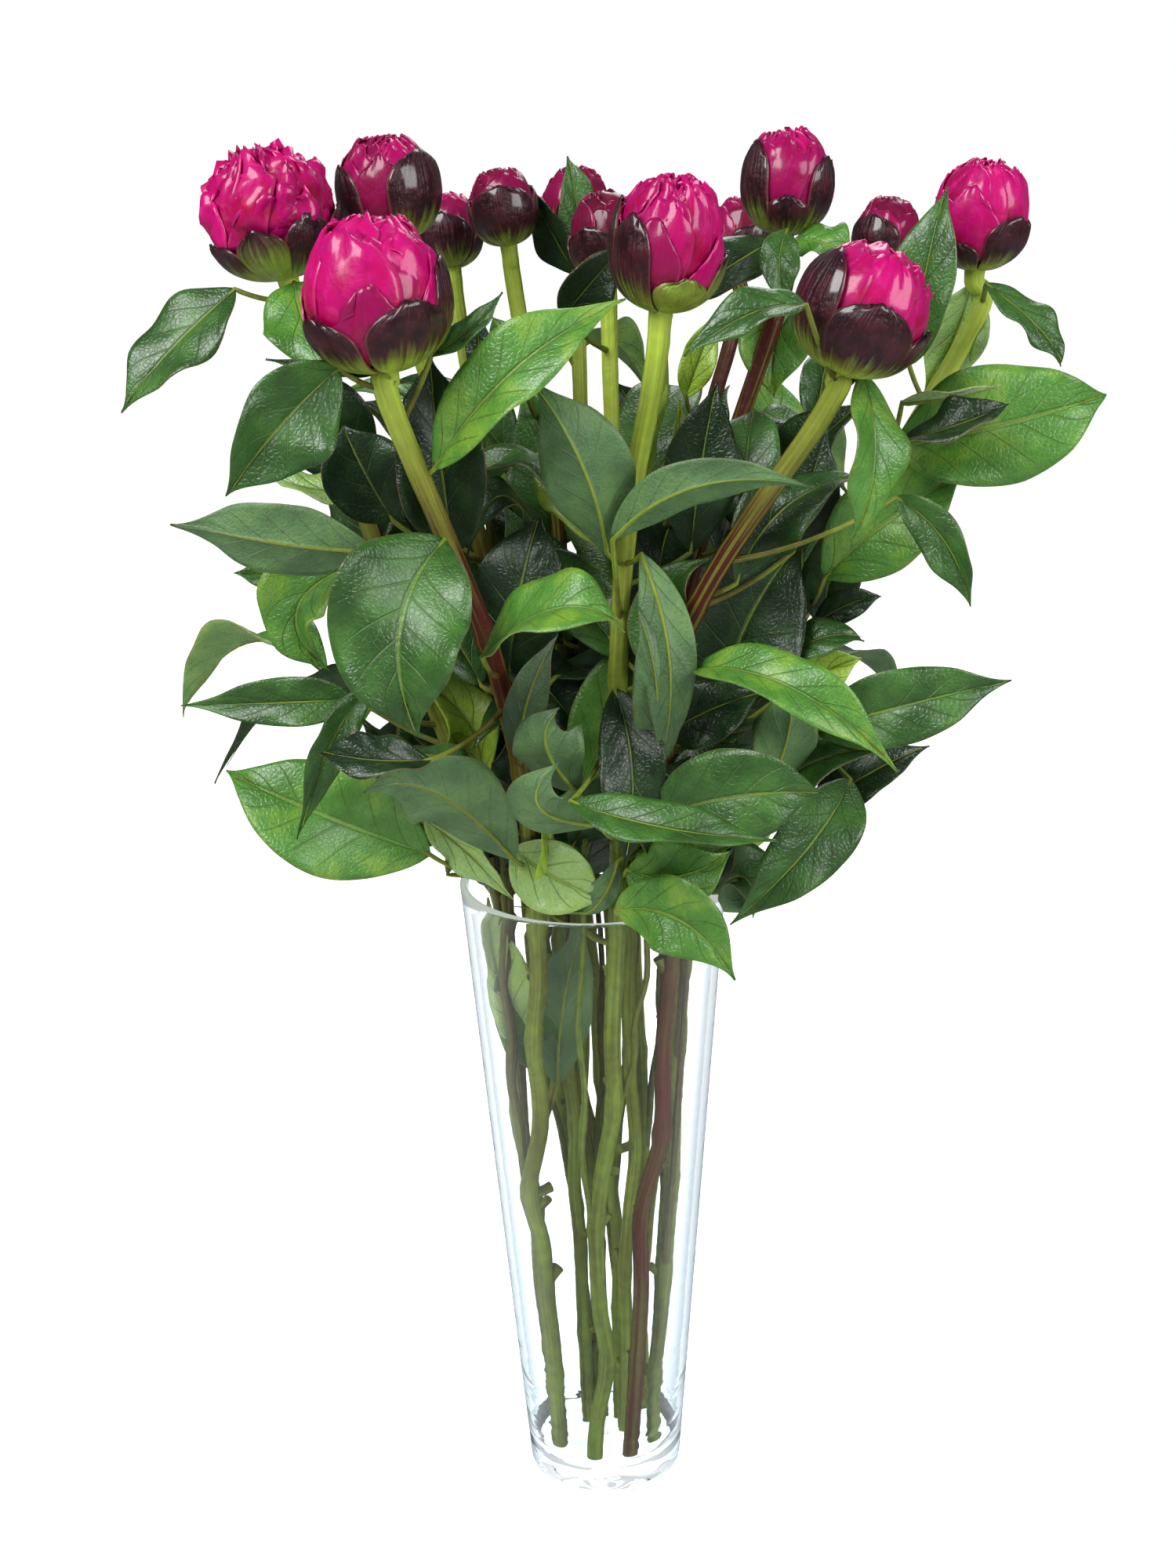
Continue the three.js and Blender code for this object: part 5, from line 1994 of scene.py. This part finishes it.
LEAVES: dict[str, tuple[Leaf, ...]] = {
    "far_left": (
        Leaf((-.134, -.025, .555), (-.157, -.035, .535), (-.180, -.040, .511), .033, LEFT, 0.25, MID),
        Leaf((-.110, -.030, .557), (-.104, -.050, .543), (-.093, -.064, .525), .031, FRONT, 1.4, FRESH),
        Leaf((-.087, -.025, .478), (-.104, -.035, .506), (-.122, -.025, .522), .036, FRONT, 0.5, DARK),
        Leaf((-.082, -.040, .477), (-.106, -.045, .480), (-.124, -.040, .486), .017, UP, 0.5, PALE),
        Leaf((-.093, -.030, .447), (-.117, -.036, .430), (-.107, -.036, .403), .030, LEFT, -0.5, FRESH),
        Leaf((-.096, -.045, .395), (-.123, -.052, .396), (-.165, -.045, .394), .020, FRONT, 0.5, MID),
        Leaf((-.086, -.072, .405), (-.100, -.084, .387), (-.115, -.084, .348), .016, RIGHT, 0.25, MID),
        Leaf((-.067, -.052, .330), (-.109, -.072, .356), (-.148, -.062, .372), .044, FRONT, 0.5, FRESH),
    ),
    "front_left": (
        Leaf((-.086, -.100, .530), (-.107, -.110, .511), (-.127, -.112, .487), .033, RIGHT, 0.5, MID),
        Leaf((-.075, -.084, .527), (-.093, -.092, .529), (-.112, -.096, .534), .009, UP, 0.9, DARK),
        Leaf((-.082, -.062, .458), (-.120, -.070, .464), (-.157, -.060, .471), .030, UNDER, 0.5, MID),
        Leaf((-.052, -.092, .467), (-.068, -.118, .438), (-.062, -.116, .395), .051, FRONT, 0.5, MID),
        Leaf((-.061, -.096, .384), (-.083, -.107, .388), (-.103, -.099, .390), .019, UP, -0.2, DARK),
        Leaf((-.032, -.058, .329), (-.059, -.084, .366), (-.087, -.090, .372), .036, UNDER, 0.5, MID),
        Leaf((-.054, -.087, .533), (-.040, -.088, .542), (-.028, -.082, .554), .011, UP, 1.4, MID),
        Leaf((-.055, -.084, .492), (-.023, -.098, .529), (.016, -.082, .550), .030, LEFT, 0.5, FRESH),
        Leaf((-.040, -.090, .422), (-.011, -.118, .446), (.016, -.118, .438), .034, UP, 0.5, FRESH),
        Leaf((-.028, -.062, .373), (-.024, -.070, .400), (-.012, -.064, .424), .016, UNDER, 0.5, DARK),
        Leaf((-.022, -.038, .298), (-.018, -.050, .323), (-.021, -.050, .349), .015, RIGHT, 0.5, LIME),
        Leaf((-.020, -.012, .208), (-.032, -.020, .245), (-.039, -.020, .278), .026, FRONT, 0.9, MID),
        Leaf((-.070, -.036, .340), (-.051, -.044, .326), (-.034, -.046, .306), .018, LEFT, .30, PALE),
        Leaf((-.018, -.014, .206), (-.014, -.023, .250), (-.004, -.020, .290), .027, UNDER, 0.9, MID),
        Leaf((-.030, -.016, .230), (-.041, -.022, .262), (-.046, -.014, .296), .028, FRONT, 0.9, PALE),
        Leaf((-.040, -.014, .294), (-.043, -.022, .333), (-.059, -.020, .364), .034, FRONT, .40, DARK),
        Leaf((-.037, -.010, .381), (-.031, -.012, .416), (-.035, -.004, .447), .036, FRONT, .40, DARK),
    ),
    "left": (
        Leaf((-.076, -.040, .466), (-.086, -.050, .489), (-.092, -.050, .505), .034, FRONT, 0.5, DARK),
        Leaf((-.116, .010, .432), (-.135, .012, .435), (-.150, .010, .437), .013, FRONT, 0.5, MID),
        Leaf((-.051, -.058, .456), (-.054, -.072, .497), (-.057, -.060, .533), .034, FRONT, 0.5, DARK),
        Leaf((-.040, -.022, .518), (-.040, -.027, .532), (-.041, -.022, .545), .010, FRONT, 0.5, DARK),
        Leaf((-.052, .006, .356), (-.064, .000, .386), (-.068, .004, .416), .036, FRONT, .40, DARK),
        Leaf((-.052, .012, .445), (-.061, .008, .472), (-.061, .012, .504), .034, FRONT, .40, DARK),
    ),
    "small": (
        Leaf((-.024, .000, .515), (-.030, -.004, .530), (-.036, .000, .542), .015, FRONT, 0.5, MID),
        Leaf((-.032, -.046, .404), (-.026, -.058, .441), (-.017, -.046, .470), .038, FRONT, 0.5, DARK),
        Leaf((-.016, .034, .440), (-.015, .028, .475), (-.027, .030, .515), .036, FRONT, .40, MID),
        Leaf((-.019, .020, .344), (-.035, .016, .374), (-.037, .018, .406), .040, FRONT, .40, DARK),
    ),
    "back": (
        Leaf((.004, .072, .556), (.000, .066, .581), (-.003, .070, .604), .020, RIGHT, 0.5, MID),
        Leaf((-.002, .062, .555), (-.012, .058, .573), (-.021, .062, .592), .018, LEFT, 0.5, DARK),
    ),
    "behind_centre": (
        Leaf((-.006, .000, .541), (.004, -.008, .553), (.020, -.002, .569), .023, RIGHT, 0.5, DARK),
        Leaf((.033, -.030, .462), (.036, -.036, .486), (.039, -.036, .511), .021, RIGHT, 0.5, LIME),
        Leaf((-.006, .004, .297), (.002, -.002, .336), (-.003, .004, .370), .038, FRONT, .40, DARK),
        Leaf((.003, .014, .374), (.017, .008, .410), (.028, .014, .443), .036, FRONT, .40, DARK),
        Leaf((-.010, .016, .402), (-.019, .010, .431), (-.035, .014, .464), .036, FRONT, .40, MID),
    ),
    "centre": (
        Leaf((.008, -.066, .456), (-.001, -.092, .494), (-.019, -.088, .524), .034, UNDER, 0.5, MID),
        Leaf((.010, -.077, .463), (.040, -.095, .485), (.083, -.091, .484), .020, UNDER, 1.4, MID),
        Leaf((.041, -.052, .453), (.045, -.058, .489), (.051, -.058, .519), .028, FRONT, 0.5, DARK),
        Leaf((.021, -.046, .472), (.027, -.046, .508), (.035, -.040, .542), .011, RIGHT, 0.9, LIME),
        Leaf((.009, -.060, .307), (.035, -.082, .310), (.056, -.084, .285), .031, FRONT, 0.5, FRESH),
        Leaf((-.008, -.108, .370), (.028, -.130, .366), (.069, -.122, .358), .022, UP, -0.2, MID),
        Leaf((.014, -.054, .322), (.035, -.070, .325), (.056, -.072, .336), .029, FRONT, 0.5, FRESH),
        Leaf((-.015, -.024, .448), (-.032, -.046, .476), (-.047, -.046, .452), .019, UP, 0.9, DARK),
        Leaf((.022, -.072, .368), (.026, -.084, .403), (.019, -.076, .437), .019, UNDER, 0.5, MID),
        Leaf((-.005, -.076, .363), (-.017, -.094, .388), (-.011, -.092, .402), .027, UNDER, 0.5, MID),
        Leaf((.003, -.080, .351), (-.020, -.104, .367), (-.013, -.102, .384), .025, UNDER, 0.5, MID),
        Leaf((-.033, -.046, .330), (-.015, -.052, .318), (.007, -.050, .307), .030, FRONT, .30, PALE),
        Leaf((.021, -.070, .456), (.031, -.084, .414), (.025, -.082, .372), .021, UNDER, .30, MID),
        Leaf((.010, -.066, .402), (.016, -.086, .372), (.012, -.084, .334), .026, FRONT, .30, DARK),
        Leaf((-.019, -.030, .294), (-.015, -.036, .319), (-.021, -.034, .343), .024, FRONT, .40, MID),
        Leaf((.011, -.042, .300), (.033, -.050, .319), (.057, -.046, .328), .034, UP, .40, FRESH),
    ),
    "front_right": (
        Leaf((.077, -.116, .549), (.057, -.122, .547), (.035, -.120, .533), .017, UP, 0.8, MID),
        Leaf((.102, -.078, .523), (.105, -.096, .494), (.098, -.094, .462), .026, RIGHT, 0.5, FRESH),
        Leaf((.116, -.080, .477), (.133, -.090, .461), (.143, -.088, .436), .017, LEFT, 0.5, MID),
        Leaf((.079, -.040, .392), (.094, -.046, .402), (.110, -.044, .407), .019, FRONT, 0.5, LIME),
        Leaf((.039, -.072, .411), (.074, -.106, .412), (.116, -.108, .379), .024, UP, 0.5, FRESH),
        Leaf((.024, -.082, .354), (.056, -.106, .370), (.091, -.100, .368), .036, FRONT, 0.5, MID),
        Leaf((.031, -.060, .340), (.019, -.076, .363), (.011, -.080, .379), .027, FRONT, 0.5, DARK),
        Leaf((.031, -.056, .380), (.047, -.064, .392), (.070, -.062, .399), .026, FRONT, 0.5, DARK),
        Leaf((.010, -.052, .325), (-.006, -.052, .301), (-.034, -.044, .302), .017, UNDER, -0.5, MID),
        Leaf((.082, -.044, .451), (.087, -.050, .476), (.094, -.048, .500), .024, FRONT, 0.5, DARK),
        Leaf((.031, -.030, .295), (.043, -.034, .326), (.064, -.030, .350), .036, FRONT, .40, DARK),
        Leaf((.048, -.034, .300), (.063, -.044, .314), (.068, -.050, .295), .030, RIGHT, .40, MID),
    ),
    "upper_right": (
        Leaf((.077, -.004, .568), (.057, -.016, .558), (.037, -.020, .544), .027, UP, 0.5, DARK),
        Leaf((.081, -.016, .572), (.077, -.028, .559), (.080, -.030, .544), .015, FRONT, 1.4, MID),
        Leaf((.086, .000, .568), (.097, -.008, .567), (.108, -.014, .560), .022, UP, 1.4, FRESH),
        Leaf((.088, .018, .540), (.079, .010, .525), (.080, .008, .505), .029, FRONT, -0.5, FRESH),
        Leaf((.034, .010, .364), (.050, .004, .396), (.079, .006, .419), .038, FRONT, .40, DARK),
        Leaf((.028, .016, .422), (.034, .012, .456), (.053, .014, .489), .034, FRONT, .40, MID),
    ),
    "back_middle": (
        Leaf((.045, .048, .503), (.051, .044, .520), (.058, .046, .539), .015, FRONT, 0.5, LIME),
    ),
    "far_right": (
        Leaf((.130, -.018, .520), (.133, -.030, .555), (.141, -.024, .588), .027, LEFT, 0.5, MID),
        Leaf((.161, -.010, .550), (.180, -.020, .534), (.190, -.025, .519), .018, RIGHT, 0.5, MID),
        Leaf((.159, .008, .549), (.153, .010, .527), (.141, .010, .504), .025, FRONT, -0.2, PALE),
        Leaf((.118, -.056, .492), (.159, -.074, .503), (.199, -.068, .513), .045, FRONT, 0.5, FRESH),
        Leaf((.118, -.074, .511), (.135, -.082, .514), (.153, -.080, .517), .010, LID, 0.5, PALE),
        Leaf((.118, -.078, .498), (.137, -.090, .505), (.155, -.086, .512), .017, UP, 0.5, DARK),
        Leaf((.094, -.048, .441), (.119, -.060, .467), (.148, -.054, .482), .036, FRONT, 0.5, FRESH),
        Leaf((.080, -.040, .406), (.094, -.048, .417), (.112, -.046, .416), .018, UP, 0.25, MID),
        Leaf((.090, -.058, .381), (.124, -.076, .396), (.164, -.070, .403), .030, FRONT, 0.5, MID),
        Leaf((.092, -.039, .341), (.113, -.045, .358), (.140, -.039, .369), .023, UP, 0.5, DARK),
        Leaf((.106, -.048, .357), (.085, -.076, .337), (.054, -.080, .307), .030, FRONT, -0.5, MID),
    ),
    "back_right": (
        Leaf((.093, -.028, .418), (.106, -.034, .427), (.119, -.034, .430), .013, FRONT, 0.25, DARK),
        Leaf((.077, -.022, .304), (.090, -.028, .313), (.101, -.028, .324), .015, FRONT, -0.2, PALE),
        Leaf((.056, -.032, .384), (.064, -.046, .424), (.089, -.038, .457), .050, FRONT, 0.5, DARK),
        Leaf((.070, -.056, .357), (.078, -.066, .381), (.079, -.064, .407), .025, UNDER, -0.2, MID),
    ),
}

SPRAYS: dict[str, tuple[Spray, ...]] = {
    "back_right": (Spray(0.372, 28, 0.030, 0.084, 0.036),),
    "back_middle": (Spray(0.380, 68, 0.038, 0.080, 0.036), Spray(0.470, 48, 0.048, 0.078, 0.034)),
    "back": (
        Spray(0.366, 100, 0.040, 0.084, 0.038),
        Spray(0.462, 84, 0.026, 0.078, 0.034),
        Spray(0.520, 108, 0.018, 0.066, 0.028),
    ),
    "back_left": (Spray(0.378, 140, 0.028, 0.082, 0.036),),
    "far_left": (Spray(0.392, 152, 0.052, 0.084, 0.036),),
}


# ---- The studio ---------------------------------------------------------------------------


@dataclass
class Studio:
    """A pale floor under soft light, and the camera."""

    floor_size: float = 60.0
    world: float = 1.0
    dim: float = 0.27
    sheen: float = 0.07
    distance: float = 0.760
    shift_left: float = 0.0013
    eye: float = 0.5835
    down: float = 17.6
    roll: float = -1.3
    lens: float = 41.96
    floor: FloorFinish = field(default_factory=FloorFinish)

    def build_floor(self) -> None:
        """Lays the floor."""
        half = self.floor_size / 2
        mesh = bpy.data.meshes.new("floor")
        corners = [(-half, -half, 0.0), (half, -half, 0.0), (half, half, 0.0), (-half, half, 0.0)]
        mesh.from_pydata(corners, [], [(0, 1, 2, 3)])
        mesh.materials.append(self.floor.material())
        floor = bpy.data.objects.new("floor", mesh)
        bpy.context.scene.collection.objects.link(floor)

    def add_light(self, name: str, spot: Point, aim: Point, size: float, power: float) -> None:
        """Hangs one soft light.

        Args:
            name: Its name.
            spot: Where it hangs.
            aim: The point that it looks at.
            size: The side of its square.
            power: Its power in watts.
        """
        data = bpy.data.lights.new(name, "AREA")
        data.size, data.energy = size, power
        light = bpy.data.objects.new(name, data)
        light.location = spot
        light.rotation_euler = (Vector(aim) - Vector(spot)).to_track_quat("-Z", "Y").to_euler()
        bpy.context.scene.collection.objects.link(light)

    def build_light(self) -> None:
        """Sets the even light of the room, a key from the upper left and a fill from the right."""
        world = bpy.data.worlds.new("studio")
        world.use_nodes = True
        sky = world.node_tree.nodes["Background"]
        sky.inputs["Color"].default_value = WHITE
        graph = Graph(world.node_tree)
        path = graph.add("ShaderNodeLightPath").outputs
        bounced = graph.math("MINIMUM", path["Diffuse Depth"], 1.0)
        ambient = graph.line(bounced, self.dim - self.sheen, self.sheen)
        strength = graph.line(graph.watched(), self.world - self.sheen, ambient)
        graph.link(strength, sky.inputs["Strength"])
        bpy.context.scene.world = world
        self.add_light("key", (-0.75, -0.85, 1.45), (0.0, 0.0, 0.45), 0.8, 30.0)
        self.add_light("fill", (1.1, -0.9, 1.0), (0.0, 0.0, 0.4), 0.8, 17.0)
        self.add_light("back", (0.3, 1.2, 1.6), (0.0, 0.0, 0.45), 0.8, 10.0)

    def build_camera(self) -> None:
        """Places the camera at the picture's viewing angle."""
        data = bpy.data.cameras.new("camera")
        data.lens, data.sensor_width = self.lens, 36.0
        data.clip_start, data.clip_end = 0.01, 200.0
        camera = bpy.data.objects.new("camera", data)
        camera.location = (-self.shift_left, -self.distance, self.eye)
        tilt = Matrix.Rotation(math.radians(90 - self.down), 3, "X")
        roll = Matrix.Rotation(math.radians(self.roll), 3, "Z")
        camera.rotation_euler = (tilt @ roll).to_euler()
        bpy.context.scene.collection.objects.link(camera)
        bpy.context.scene.camera = camera
        bpy.context.scene.view_settings.view_transform = "Standard"

    def build(self) -> None:
        """Builds the floor, the light and the camera."""
        self.build_floor()
        self.build_light()
        self.build_camera()


def main() -> None:
    """Builds the studio, the vase and the peonies."""
    logging.basicConfig(level=logging.INFO, format="%(message)s")
    Studio().build()
    VASE.build()
    blades, skin, petal, sepal = Blades(), StemFinish(), PetalFinish(), SepalFinish()
    thicket, shoots = Thicket(), {}
    for peony in PEONIES:
        shoots[peony.name] = peony.shoots(LEAVES.get(peony.name, ()), SPRAYS.get(peony.name, ()))
        for shoot in shoots[peony.name]:
            thicket.take(shoot.spots())
    for peony in PEONIES:
        shoots[peony.name] += peony.inner_shoots(thicket)
        log.info("%s: %d leaves", peony.name, len(shoots[peony.name]))
        peony.build_stem(shoots[peony.name], blades, skin)
        peony.build_bud(petal, sepal)


if __name__ == "__main__":
    main()
